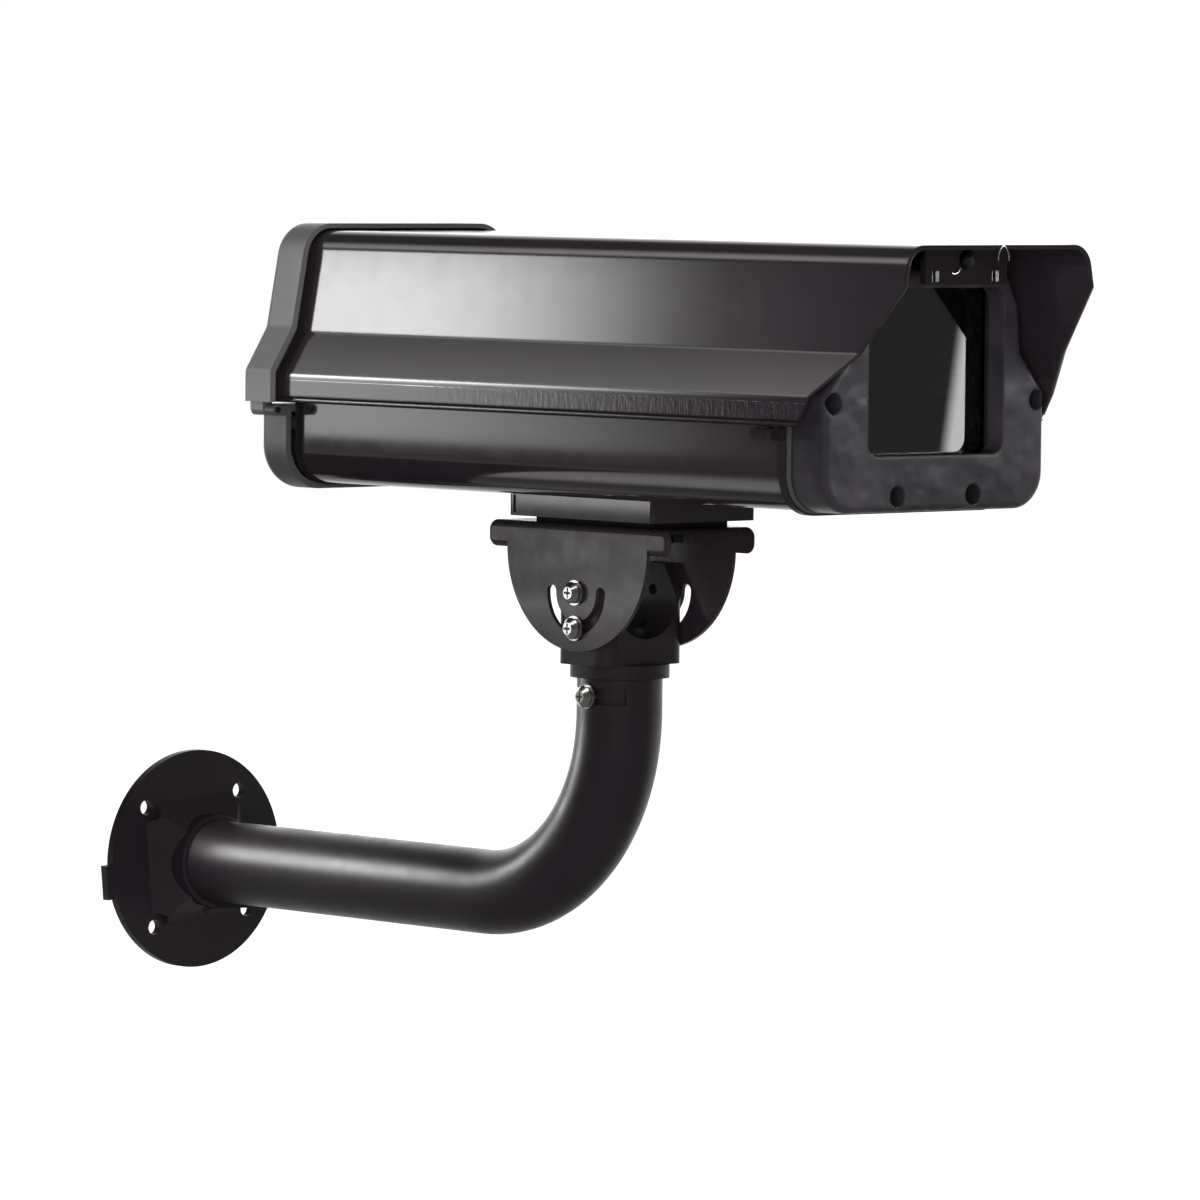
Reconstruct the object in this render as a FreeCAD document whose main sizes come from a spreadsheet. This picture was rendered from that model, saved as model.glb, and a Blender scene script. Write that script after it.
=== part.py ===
import FreeCAD, Part
import math
import os

import Sketcher
from FreeCAD import Placement, Rotation, Vector

# Security camera housing on a bent wall bracket. Millimetres, +Z up. The origin is where the
# bracket tube's axis meets the wall, and the housing looks along -Y. The bracket turns the housing
# about the upright end of its tube and tilts it about the pivot screws; the cover opens sideways.
# Lengths named front or rear are distances ahead of (or behind) the tilt pivot; lengths named
# low, high or top are heights above it.

SIZES = {
    # wall plate
    "plate_dia": 102.0, "plate_thick": 4.0, "plate_turn": 5.5,
    "nub_out": 3.6, "nub_low": -11.5, "nub_high": 4.5, "nub_in": 8.0,
    "boss_half": 29.0, "boss_neck": 15.0, "boss_front": 17.0,
    "collar_dia": 43.0, "collar_front": 20.0, "rib_front": 46.0, "rib_wide": 6.0, "rib_deep": 3.4,
    "rib_tip": 0.6, "set_screw_depth": 9.0, "set_screw_long": 3.6,
    "hole_circle": 80.0, "hole_dia": 7.0, "hole_seat": 13.0,
    # bent tube
    "tube_dia": 38.0, "tube_wall": 2.0, "reach": 292.5, "bend_radius": 86.0, "pivot_height": 140.0,
    "tube_inset": 1.0,
    # clearances
    "fit_gap": 0.05, "run_gap": 0.3,
    # swivel head
    "head_half": 24.7, "head_deep": 17.0, "head_corner": 8.0, "head_low": 32.0, "ear_high": 12.0,
    "ear_taper": 6.0, "ear_flat": 7.0, "gap_radius": 19.5, "gap_drop": 1.0,
    "ring_dia": 44.0, "ring_low": 38.0, "spigot_long": 15.0, "cable_bore": 22.0,
    "pan_drop": 46.0, "pan_travel": 45.0, "pan_slot_extra": 21.0, "pan_slot_high": 7.0,
    # screws
    "screw_dia": 5.0, "screw_head_dia": 9.6, "screw_head_high": 3.8,
    "washer_dia": 11.0, "washer_thick": 1.2,
    "pan_screw_dia": 6.0, "lock_radius": 15.7, "lock_slot": 5.8,
    # yoke
    "yoke_half": 27.0, "sheet": 2.0, "yoke_top": 30.0, "tab_low": 18.0, "tab_half": 58.5,
    "tab_corner": 4.5, "cheek_radius": 45.0, "cheek_centre": 19.0, "bend_out": 3.0,
    # rail under the housing
    "pad_thick": 2.6, "pad_half_x": 22.0, "pad_half_y": 38.0,
    "rail_half": 31.0, "rail_front": 53.0, "rail_rear": 40.0, "rail_wall": 2.2,
    "rail_recess": 0.8, "rail_border": 1.5, "bolt_dia": 6.0, "bolt_pitch": 50.0,
    "bolt_head_wide": 10.0, "bolt_head_high": 4.0, "bolt_grip": 5.5, "bush_dia": 14.0,
    # lower body
    "body_half": 64.0, "body_low": 43.3, "body_high": 96.0, "body_wall": 2.5, "body_corner": 16.0,
    "body_front": 168.0, "body_rear": 142.0,
    "port_dia": 8.0, "port_bore": 3.4, "port_high_in": 6.5, "port_high_z": 70.0,
    "port_low_in": 18.0, "port_low_z": 49.7,
    "seal_half": 2.2, "seal_grip": 6.0, "seal_top": 3.5,
    # front flange, gasket and bezel
    "flange_thick": 4.0, "gasket_thick": 2.0, "flange_proud": 1.6, "gasket_proud": 0.8,
    "bezel_out": 2.0, "bezel_low": 43.2, "bezel_corner": 16.0, "bezel_long": 26.0,
    "bezel_wall": 3.0, "bezel_face": 4.0, "bezel_round": 3.0,
    "shoulder_z": 93.0, "neck_in": 12.0, "neck_z": 110.0, "brow_in": 14.0, "brow_z": 130.0,
    "bezel_top_in": 22.0, "bezel_top": 146.0,
    "window_in": 23.4, "window_low": 67.0, "window_top": 137.8, "window_corner": 6.0,
    "bezel_screw_dia": 4.0, "recess_dia": 9.0, "recess_deep": 13.0, "boss_dia": 10.2,
    "bezel_high_in": 3.2, "bezel_high_z": 89.6, "bezel_low_x": 22.7, "bezel_low_z": 50.0,
    # window
    "glass_lap": 2.6, "glass_corner": 5.5, "glass_thick": 4.0, "glass_deep": 11.5, "glass_seal": 1.5,
    # rear of the lower body
    "rear_gasket": 1.5, "rear_rim": 1.0, "rear_plate": 3.0, "seal_width": 5.0,
    "low_cap_out": 5.5, "low_cap_low": 40.5, "low_cap_top": 78.4, "low_cap_end": 24.2,
    "low_cap_wall": 3.0, "low_cap_corner": 20.0, "low_cap_round": 7.0,
    "gland_x": 25.0, "gland_z": 63.2, "gland_dia": 16.0, "gland_bore": 9.0, "gland_hex": 19.0,
    "gland_flange": 4.0, "gland_cap_long": 10.0, "gland_nut": 4.0,
    # cover
    "lip_out": 10.5, "lip_low": 79.8, "lip_top": 92.4, "fold_in": 1.6, "fold_z": 111.2,
    "roof_in": 10.3, "roof_z": 156.6, "roof_corner": 10.5, "cover_wall": 2.0,
    "groove_low": 1.0, "groove_high": 2.8, "groove_deep": 0.8,
    "cover_end": 10.0, "visor_out": 36.4, "visor_low": 138.5,
    "fold_out": 15.7, "lip_top_back": 2.6, "lip_low_back": 9.7,
    "cap_boss_dia": 7.2, "cap_boss_long": 25.0, "cap_high_in": 20.0, "cap_high_z": 147.6,
    "cap_low_in": 6.5, "cap_low_z": 108.0,
    # upper rear cap
    "cap_proud": 5.9, "cap_wall": 3.0, "cap_start": 2.8, "cap_end": 22.8, "cap_round": 4.5,
    "cap_rise": 3.0, "cap_roof_wall": 2.0,
    "cap_seal_back": 2.2, "cap_seal_thick": 3.0,
    # hinge at the near side
    "hinge_z": 76.2, "knuckle": 2.6, "pin_dia": 2.6, "knuckle_long": 5.8,
    "hinge_ear_long": 7.4, "hinge_plate_top": 90.0,
    # thumb screws and their slotted lugs at the far side
    "thumb_z": 84.0, "thumb_front": 110.0, "thumb_rear": 90.0, "thumb_dia": 13.0,
    "thumb_long": 7.5, "button_dia": 7.2, "button_thick": 1.4, "lug_wall": 1.5, "lug_reach": 6.5,
    "lug_long": 30.0, "lug_drop": 5.5, "lug_rise": 7.0, "lug_step": 2.0,
    "rivet_dia": 3.0, "rivet_pitch": 20.0,
    # camera tray
    "tray_in": 24.4, "tray_front": 115.0, "tray_rear": 105.0, "tray_thick": 2.0,
    "rail_top": 52.0, "guide_top": 56.0, "guide_wide": 3.0, "step_wide": 5.0,
    "tray_travel": 25.0, "clamp_in": 36.0, "clamp_dia": 5.0, "clamp_head": 13.0,
    "camera_screw_dia": 6.35, "camera_screw_front": 75.0, "camera_screw_rise": 10.0,
    "camera_slot_front": 18.0, "camera_slot_rear": 30.0,
    # strip and wire clip under the visor
    "strip_half": 24.5, "strip_out": 16.6, "strip_deep": 15.0, "strip_thick": 1.6,
    "strip_low": 139.6, "strip_wing": 3.0, "wing_high": 150.2,
    "strip_boss_dia": 7.6, "strip_boss_long": 6.0, "strip_screw_z": 150.2,
    "strip_button_dia": 8.4, "strip_button_high": 2.6,
    "clip_x": 18.0, "clip_z": 143.1, "clip_wide": 5.0, "clip_high": 4.8,
    "hook_x": -8.0, "hook_z": 148.0, "hook_radius": 3.9, "hook_dia": 1.0,
    "wire_x": 1.2, "wire_dia": 0.9, "wire_bow": 5.5, "wire_tip": 0.8, "wire_high": 6.3,
    "wire_drop": 2.1, "wire_gap": 0.1,
}
WALL_HOLES = 4
SLIDE = 0.15

doc = FreeCAD.newDocument("camera_housing")
sheet = doc.addObject("Spreadsheet::Sheet", "Sizes")
for row, (alias, number) in enumerate(SIZES.items(), 1):
    sheet.set("A%d" % row, alias)
    sheet.set("B%d" % row, str(number))
    sheet.setAlias("B%d" % row, alias)
doc.recompute()


class Size:
    """a length together with the spreadsheet expression that gives it"""

    def __init__(self, text, value):
        self.text = text
        self.value = value

    def __add__(self, other):
        return Size("(%s + %s)" % (self.text, text_of(other)), self.value + value_of(other))

    def __sub__(self, other):
        return Size("(%s - %s)" % (self.text, text_of(other)), self.value - value_of(other))

    def __mul__(self, factor):
        return Size("(%s * %s)" % (self.text, text_of(factor)), self.value * value_of(factor))

    def __truediv__(self, divisor):
        return Size("(%s / %s)" % (self.text, text_of(divisor)), self.value / value_of(divisor))

    def __neg__(self):
        return Size("(0 - %s)" % self.text, -self.value)

    def __radd__(self, other):
        return self + other

    def __rsub__(self, other):
        return -self + other

    def __rmul__(self, factor):
        return self * factor


def text_of(item):
    return item.text if isinstance(item, Size) else repr(float(item))


def value_of(item):
    return item.value if isinstance(item, Size) else float(item)


class Sheet:
    """the spreadsheet's cells by name"""

    def __getattr__(self, alias):
        return Size("Sizes." + alias, float(sheet.get(alias)))


s = Sheet()

# widths that follow the lower body's
s.bezel_half = s.body_half + s.bezel_out
s.neck_half = s.body_half - s.neck_in
s.brow_half = s.body_half - s.brow_in
s.bezel_top_half = s.body_half - s.bezel_top_in
s.window_half = s.body_half - s.window_in
s.bezel_high_x = s.body_half - s.bezel_high_in
s.port_high_x = s.body_half - s.port_high_in
s.port_low_x = s.body_half - s.port_low_in
s.lip_half = s.body_half + s.lip_out
s.fold_half = s.body_half - s.fold_in
s.roof_half = s.body_half - s.roof_in
s.low_cap_half = s.body_half + s.low_cap_out
s.cap_high_x = s.body_half - s.cap_high_in
s.cap_low_x = s.body_half - s.cap_low_in
s.tray_half = s.body_half - s.tray_in
s.clamp_x = s.body_half - s.clamp_in
# distances ahead of the pivot that follow the lower body's front end
s.bezel_front = s.body_front + s.bezel_long
s.recess_seat = s.bezel_front - s.recess_deep
s.glass_front = s.bezel_front - s.glass_deep
s.visor_front = s.bezel_front + s.visor_out
s.fold_front = s.bezel_front + s.fold_out
s.lip_top_front = s.bezel_front - s.lip_top_back
s.lip_low_front = s.bezel_front - s.lip_low_back
s.strip_front = s.bezel_front + s.strip_out
# distances behind the pivot that follow its rear end
s.cover_rear = s.body_rear + s.cover_end
s.cap_front = s.body_rear + s.cap_start
s.cap_rear = s.body_rear + s.cap_end
s.low_cap_rear = s.body_rear + s.low_cap_end


def bind(thing, path, size):
    """tie one property of an object to the spreadsheet"""
    if isinstance(size, Size):
        thing.setExpression(path, size.text)


def seat(thing, x, y, z, turn=None):
    """put an object in its place, tied to the spreadsheet"""
    thing.Placement = Placement(Vector(value_of(x), value_of(y), value_of(z)), turn or Rotation())
    for letter, size in zip("xyz", (x, y, z)):
        bind(thing, ".Placement.Base." + letter, size)


def hold(sketch, geometry, point, x, y):
    """hold one point of a sketch at its distances from the origin"""
    for kind, axis, size in (("DistanceX", -2, x), ("DistanceY", -1, y)):
        if isinstance(size, Size):
            rule = Sketcher.Constraint(kind, -1, 1, geometry, point, value_of(size))
            index = sketch.addConstraint(rule)
            sketch.setExpression("Constraints[%d]" % index, size.text)
        elif size == 0:
            sketch.addConstraint(Sketcher.Constraint("PointOnObject", geometry, point, axis))
        else:
            rule = Sketcher.Constraint(kind, -1, 1, geometry, point, float(size))
            sketch.addConstraint(rule)


def radius_rule(sketch, geometry, radius):
    index = sketch.addConstraint(Sketcher.Constraint("Radius", geometry, value_of(radius)))
    if isinstance(radius, Size):
        sketch.setExpression("Constraints[%d]" % index, radius.text)


def flat(x, y):
    return Vector(value_of(x), value_of(y), 0)


def outline(points):
    """a closed outline of straight edges"""
    def draw(sketch):
        first = sketch.GeometryCount
        count = len(points)
        for index, (x, y) in enumerate(points):
            after = points[(index + 1) % count]
            sketch.addGeometry(Part.LineSegment(flat(x, y), flat(*after)), False)
        for index in range(count):
            after = first + (index + 1) % count
            rule = Sketcher.Constraint("Coincident", first + index, 2, after, 1)
            sketch.addConstraint(rule)
        for index, (x, y) in enumerate(points):
            hold(sketch, first + index, 1, x, y)
    return draw


def oblong(low_x, low_y, high_x, high_y):
    return outline([(low_x, low_y), (high_x, low_y), (high_x, high_y), (low_x, high_y)])


def circle(x, y, radius):
    def draw(sketch):
        place = sketch.GeometryCount
        sketch.addGeometry(Part.Circle(flat(x, y), Vector(0, 0, 1), value_of(radius)), False)
        radius_rule(sketch, place, radius)
        hold(sketch, place, 3, x, y)
    return draw


def both(*drawings):
    def draw(sketch):
        for drawing in drawings:
            drawing(sketch)
    return draw


def lower_slot(middle, width):
    """a slot along the lower half of a circle, with round ends"""
    def draw(sketch):
        outer, inner = middle + width / 2, middle - width / 2
        turns = ((0, outer, math.pi, 2 * math.pi), (0, inner, math.pi, 2 * math.pi),
                 (-middle, width / 2, 0, math.pi), (middle, width / 2, 0, math.pi))
        for centre, radius, start, end in turns:
            ring = Part.Circle(flat(centre, 0), Vector(0, 0, 1), value_of(radius))
            sketch.addGeometry(Part.ArcOfCircle(ring, start, end), False)
        for index in (0, 1):
            hold(sketch, index, 3, 0, 0)
        for index in (2, 3):
            sketch.addConstraint(Sketcher.Constraint("PointOnObject", index, 3, -1))
        radius_rule(sketch, 0, outer)
        radius_rule(sketch, 1, inner)
        for one, end, other, start in ((0, 1, 2, 2), (1, 1, 2, 1), (1, 2, 3, 2), (0, 2, 3, 1)):
            sketch.addConstraint(Sketcher.Constraint("Coincident", one, end, other, start))
        for index in (0, 1):
            sketch.addConstraint(Sketcher.Constraint("PointOnObject", index, 1, -1))
            sketch.addConstraint(Sketcher.Constraint("PointOnObject", index, 2, -1))
    return draw


def grow(points, distance):
    """the outline moved outwards by a distance, corner by corner"""
    moved = []
    count = len(points)
    for index in range(count):
        before, here, after = points[index - 1], points[index], points[(index + 1) % count]
        normals = []
        for start, end in ((before, here), (here, after)):
            step = flat(*end) - flat(*start)
            normals.append(Vector(step.y, -step.x, 0).normalize())
        shift = (normals[0] + normals[1]) * (1 / (1 + normals[0].dot(normals[1])))
        moved.append((here[0] + distance * round(shift.x, 6), here[1] + distance * round(shift.y, 6)))
    return moved


def mirrored(half):
    """a closed outline from its right half, listed upwards"""
    return half + [(-x, y) for x, y in reversed(half)]


class Piece:
    """one body of the document, built up feature by feature"""

    def __init__(self, name, kept=True):
        self.body = doc.addObject("PartDesign::Body", name)
        self.body.Label = name
        self.steps = 0
        if kept:
            PARTS.append(self.body)

    def sketch(self, plane, draw, offset=0):
        role = plane + "_Plane"
        base = [item for item in self.body.Origin.OriginFeatures if item.Role == role][0]
        self.steps += 1
        name = "%s_sketch%d" % (self.body.Name, self.steps)
        sketch = self.body.newObject("Sketcher::SketchObject", name)
        sketch.AttachmentSupport = (base, "")
        sketch.MapMode = "FlatFace"
        sketch.AttachmentOffset = Placement(Vector(0, 0, value_of(offset)), Rotation())
        bind(sketch, "AttachmentOffset.Base.z", offset)
        draw(sketch)
        return sketch

    def feature(self, kind, **settings):
        self.steps += 1
        name = "%s_%s%d" % (self.body.Name, kind.lower(), self.steps)
        feature = self.body.newObject("PartDesign::" + kind, name)
        for path, value in settings.items():
            if isinstance(value, Size):
                setattr(feature, path, value.value)
                bind(feature, path, value)
            else:
                setattr(feature, path, value)
        return feature

    def settle(self, grows):
        """rebuild, and see that the last step did what it should"""
        before = self.volume if hasattr(self, "volume") else 0.0
        doc.recompute()
        self.volume = self.body.Shape.Volume
        change = self.volume - before
        if (grows and change <= 0) or (grows is False and change >= 0):
            raise ValueError("%s step %d changed nothing" % (self.body.Label, self.steps))

    def add(self, plane, draw, low, high):
        """material between two distances along the plane's normal"""
        profile = self.sketch(plane, draw, low)
        self.feature("Pad", Profile=profile, Length=high - low)
        self.settle(True)
        return self

    def cut(self, plane, draw, low, high):
        """a hole between two distances along the plane's normal"""
        profile = self.sketch(plane, draw, high)
        self.feature("Pocket", Profile=profile, Length=high - low)
        self.settle(False)
        return self

    def turn(self, points):
        """material turned about the upright axis from a half section"""
        profile = self.sketch("XZ", outline(points))
        self.feature("Revolution", Profile=profile, ReferenceAxis=(profile, ["V_Axis"]), Angle=360.0)
        self.settle(True)
        return self

    def edges(self, pick):
        shape = self.body.Tip.Shape
        return ["Edge%d" % (index + 1) for index, edge in enumerate(shape.Edges) if pick(edge)]

    def round(self, radius, pick):
        """a fillet on the edges that pick chooses"""
        names = self.edges(pick)
        if not names:
            raise ValueError("%s has no edge to round" % self.body.Label)
        self.feature("Fillet", Base=(self.body.Tip, names), Radius=radius)
        self.settle(None)
        return self


PARTS = []
NEAR = 0.06


def along(axis, places, reach=NEAR):
    """straight edges along an axis that pass through the given places across it"""
    main = "XYZ".index(axis)
    across = [index for index in range(3) if index != main]

    def pick(edge):
        if len(edge.Vertexes) < 2 or not isinstance(edge.Curve, Part.Line):
            return False
        start, end = edge.Vertexes[0].Point, edge.Vertexes[-1].Point
        if abs((end - start)[main]) < 0.999 * (end - start).Length:
            return False
        return any(all(abs(start[index] - value_of(size)) < reach
                       for index, size in zip(across, place)) for place in places)
    return pick


def in_plane(axis, height, inside=None):
    """edges that lie in the plane across an axis at a height, outside of an inner box"""
    main = "XYZ".index(axis)

    def pick(edge):
        box = edge.BoundBox
        low = (box.XMin, box.YMin, box.ZMin)[main]
        high = (box.XMax, box.YMax, box.ZMax)[main]
        flat_there = abs(low - value_of(height)) < NEAR and abs(high - value_of(height)) < NEAR
        return flat_there and (inside is None or not inside(edge))
    return pick


def group(name, master, places, turn=None):
    """like fasteners as separate solids in one compound"""
    links = []
    for index, place in enumerate(places, 1):
        link = doc.addObject("App::Link", "%s_%d" % (name, index))
        link.LinkedObject = master.body
        own_turn = place[3] if len(place) > 3 else turn
        seat(link, place[0], place[1], place[2], own_turn)
        links.append(link)
    compound = doc.addObject("Part::Compound", name)
    compound.Label = name
    compound.Links = links
    doc.recompute()
    PARTS.append(compound)
    return compound


# turns that point a screw's head, which is up as modelled, in another direction
HEAD_NEAR = Rotation(Vector(0, 1, 0), -90)
HEAD_FAR = Rotation(Vector(0, 1, 0), 90)
HEAD_FRONT = Rotation(Vector(1, 0, 0), 90)
HEAD_REAR = Rotation(Vector(1, 0, 0), -90)
HEAD_DOWN = Rotation(Vector(1, 0, 0), 180)

pivot_y = -s.reach
pivot_z = s.pivot_height


def on_pivot(piece):
    """seat a piece that is drawn about the tilt pivot"""
    seat(piece.body, 0, pivot_y, pivot_z)
    return piece


def pan_head_screw(name, dia, length, head_dia, head_high):
    """a cross-recess pan head screw, head up, its seat at the origin"""
    screw = Piece(name, kept=False)
    crown = head_dia * 0.28
    screw.turn([(0, -length), (dia / 2, -length), (dia / 2, 0), (head_dia / 2, 0),
                (head_dia / 2, head_high * 0.4), (crown, head_high), (0, head_high)])
    arm, wide = head_dia * 0.24, head_dia * 0.055
    cross = [(wide, -arm), (wide, -wide), (arm, -wide), (arm, wide), (wide, wide), (wide, arm),
             (-wide, arm), (-wide, wide), (-arm, wide), (-arm, -wide), (-wide, -wide), (-wide, -arm)]
    screw.cut("XY", outline(cross), head_high * 0.5, head_high)
    return screw


def plain_washer(name, bore, dia, thick):
    washer = Piece(name, kept=False)
    washer.add("XY", both(circle(0, 0, dia / 2), circle(0, 0, bore / 2)), 0, thick)
    return washer


def hexagon(across):
    """a hexagon by its width across flats, two corners on the sketch's x axis"""
    corner = across / math.sqrt(3)
    half = across / 2
    return outline([(corner, 0), (corner / 2, half), (-corner / 2, half),
                    (-corner, 0), (-corner / 2, -half), (corner / 2, -half)])


# bracket


def make_wall_plate():
    plate = Piece("wall_plate")
    plate.add("XZ", circle(0, 0, s.plate_dia / 2), 0, s.plate_thick)
    edge = s.plate_dia / 2
    plate.add("XZ", oblong(-edge - s.nub_out, s.nub_low, -edge + s.nub_in, s.nub_high),
              0, s.plate_thick)
    foot, neck = s.boss_half, s.boss_neck
    base = plate.sketch("XZ", oblong(-foot, -foot, foot, foot), s.plate_thick)
    top = plate.sketch("XZ", oblong(-neck, -neck, neck, neck), s.boss_front)
    plate.feature("AdditiveLoft", Profile=base, Sections=[top])
    plate.settle(True)
    plate.add("XZ", circle(0, 0, s.collar_dia / 2), 0, s.collar_front)
    plate.round(1.2, in_plane("Y", -s.collar_front))
    back, under = -s.collar_front + s.plate_thick, -s.tube_dia / 2
    rib = [(back, under + s.rib_deep), (back, under - s.rib_deep),
           (-s.rib_front, under - s.rib_tip), (-s.rib_front, under + s.rib_deep)]
    plate.add("YZ", outline(rib), -s.rib_wide / 2, s.rib_wide / 2)
    plate.cut("XZ", circle(0, 0, s.tube_dia / 2 + s.fit_gap), 0, s.rib_front)
    spot = s.hole_circle * round(math.cos(math.pi / 4) / 2, 6)
    hole = plate.sketch("XZ", circle(spot, spot, s.hole_dia / 2), s.boss_front)
    bore = plate.feature("Pocket", Profile=hole, Length=s.boss_front)
    plate.settle(False)
    wide = plate.sketch("XZ", circle(spot, spot, s.hole_seat / 2), s.boss_front)
    seat_cut = plate.feature("Pocket", Profile=wide, Length=s.boss_front - s.plate_thick)
    plate.settle(False)
    axis = [item for item in plate.body.Origin.OriginFeatures if item.Role == "Y_Axis"][0]
    plate.feature("PolarPattern", Originals=[bore, seat_cut], Axis=(axis, [""]), Angle=360.0,
                  Occurrences=WALL_HOLES)
    plate.body.Tip = plate.body.Group[-1]
    plate.settle(False)
    plate.cut("XY", circle(0, -s.set_screw_depth, s.screw_dia / 2 + s.fit_gap), -s.boss_half, 0)
    plate.body.Placement = Placement(Vector(), Rotation(Vector(0, -1, 0), s.plate_turn.value))
    return plate


def make_arm_tube():
    """the tube's own origin is under the pivot, on the axis of its upright end"""
    tube = Piece("arm_tube")
    wall_end = s.reach - s.tube_inset
    top = s.pivot_height - s.ring_low - s.run_gap
    bend = s.bend_radius

    def route(sketch):
        sketch.addGeometry(Part.LineSegment(flat(wall_end, 0), flat(bend, 0)), False)
        ring = Part.Circle(flat(bend, bend), Vector(0, 0, 1), bend.value)
        sketch.addGeometry(Part.ArcOfCircle(ring, math.pi, 1.5 * math.pi), False)
        sketch.addGeometry(Part.LineSegment(flat(0, bend), flat(0, top)), False)
        hold(sketch, 0, 1, wall_end, 0)
        hold(sketch, 0, 2, bend, 0)
        hold(sketch, 2, 1, 0, bend)
        hold(sketch, 2, 2, 0, top)
        sketch.addConstraint(Sketcher.Constraint("Coincident", 1, 1, 2, 1))
        sketch.addConstraint(Sketcher.Constraint("Coincident", 1, 2, 0, 2))
        radius_rule(sketch, 1, bend)
    outer = s.tube_dia / 2
    rings = both(circle(0, 0, outer), circle(0, 0, outer - s.tube_wall))
    profile = tube.sketch("XZ", rings, -wall_end)
    spine = tube.sketch("YZ", route)
    tube.feature("AdditivePipe", Profile=profile, Spine=(spine, []))
    tube.settle(True)
    slot_z = s.pivot_height - s.pan_drop
    slot = oblong(-outer - 1, slot_z - s.pan_slot_high / 2,
                  -outer + s.tube_wall + 1, slot_z + s.pan_slot_high / 2)
    cutter = tube.sketch("XZ", slot)
    tube.feature("Groove", Profile=cutter, ReferenceAxis=(cutter, ["V_Axis"]),
                 Angle=s.pan_travel * 2 + s.pan_slot_extra, Midplane=True)
    tube.settle(False)
    seat(tube.body, 0, pivot_y, 0)
    return tube


def make_collar_screw():
    """a socket set screw up through the plate's boss against the tube"""
    screw = Piece("collar_set_screw")
    high = -s.tube_dia / 2
    low = high - s.set_screw_long
    screw.add("XY", circle(0, -s.set_screw_depth, s.screw_dia / 2), low, high)
    screw.cut("XY", circle(0, -s.set_screw_depth, s.screw_dia / 4), low, low + s.set_screw_long / 2)
    screw.body.Placement = Placement(Vector(), Rotation(Vector(0, -1, 0), s.plate_turn.value))
    return screw


# swivel head


def make_head():
    head = on_pivot(Piece("head_casting"))
    half, deep, top = s.head_half, s.head_deep, s.ear_high
    head.add("XY", oblong(-half, -deep, half, deep), -s.head_low, top)
    head.round(s.head_corner, along("Z", [(x, y) for x in (-half, half) for y in (-deep, deep)]))
    gap = s.gap_radius
    head.cut("XZ", oblong(-gap, -s.gap_drop, gap, top), -deep, deep)
    head.cut("XZ", circle(0, -s.gap_drop, gap), -deep, deep)
    for side in (-1, 1):
        taper = [(deep * side, -s.ear_taper), (deep * side, top), (s.ear_flat * side, top)]
        head.cut("YZ", outline(taper), -half, half)
    head.add("XY", circle(0, 0, s.ring_dia / 2), -s.ring_low, -s.head_low)
    spigot = s.tube_dia / 2 - s.tube_wall - s.fit_gap
    foot = -s.ring_low - s.spigot_long
    head.add("XY", circle(0, 0, spigot), foot, -s.ring_low)
    head.cut("XY", circle(0, 0, s.cable_bore / 2), foot, -s.gap_drop - gap + 4)
    tapped = s.screw_dia / 2 + s.fit_gap
    head.cut("YZ", circle(0, 0, tapped), -half, half)
    for low, high in ((-half, -half + 12), (half - 12, half)):
        head.cut("YZ", circle(0, -s.lock_radius, tapped), low, high)
    head.cut("YZ", circle(0, -s.pan_drop, s.pan_screw_dia / 2 + s.fit_gap), -spigot, -s.cable_bore / 4)
    return head


def make_head_screws():
    """pivot, lock and swivel screws with their washers, all carried by the head"""
    cheek = s.yoke_half + SLIDE
    under = cheek + s.washer_thick
    pivot = pan_head_screw("pivot_screw_one", s.screw_dia, s.yoke_half - s.gap_radius + s.washer_thick,
                           s.screw_head_dia, s.screw_head_high)
    lock = pan_head_screw("lock_screw_one", s.screw_dia, s.yoke_half - s.head_half + 11,
                          s.screw_head_dia, s.screw_head_high)
    washer = plain_washer("tilt_washer_one", s.screw_dia + 0.2, s.washer_dia, s.washer_thick)
    sides = ((-under, HEAD_NEAR), (under, HEAD_FAR))
    group("tilt_pivot_screws", pivot, [(x, pivot_y, pivot_z, way) for x, way in sides])
    low = pivot_z - s.lock_radius
    group("tilt_lock_screws", lock, [(x, pivot_y, low, way) for x, way in sides])
    sides = ((-cheek, HEAD_NEAR), (cheek, HEAD_FAR))
    heights = (pivot_z, low)
    group("tilt_washers", washer, [(x, pivot_y, z, way) for x, way in sides for z in heights])
    swivel = pan_head_screw("pan_screw_one", s.pan_screw_dia, s.tube_dia / 2 - s.cable_bore / 2,
                            s.screw_head_dia, s.screw_head_high)
    face = -s.tube_dia / 2 - s.run_gap - s.washer_thick
    height = pivot_z - s.pan_drop
    group("pan_lock_screw", swivel, [(face, pivot_y, height, HEAD_NEAR)])
    ring = plain_washer("pan_washer_one", s.pan_screw_dia + 0.2, s.washer_dia, s.washer_thick)
    group("pan_lock_washer", ring, [(face + s.washer_thick, pivot_y, height, HEAD_NEAR)])


# yoke and rail


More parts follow.
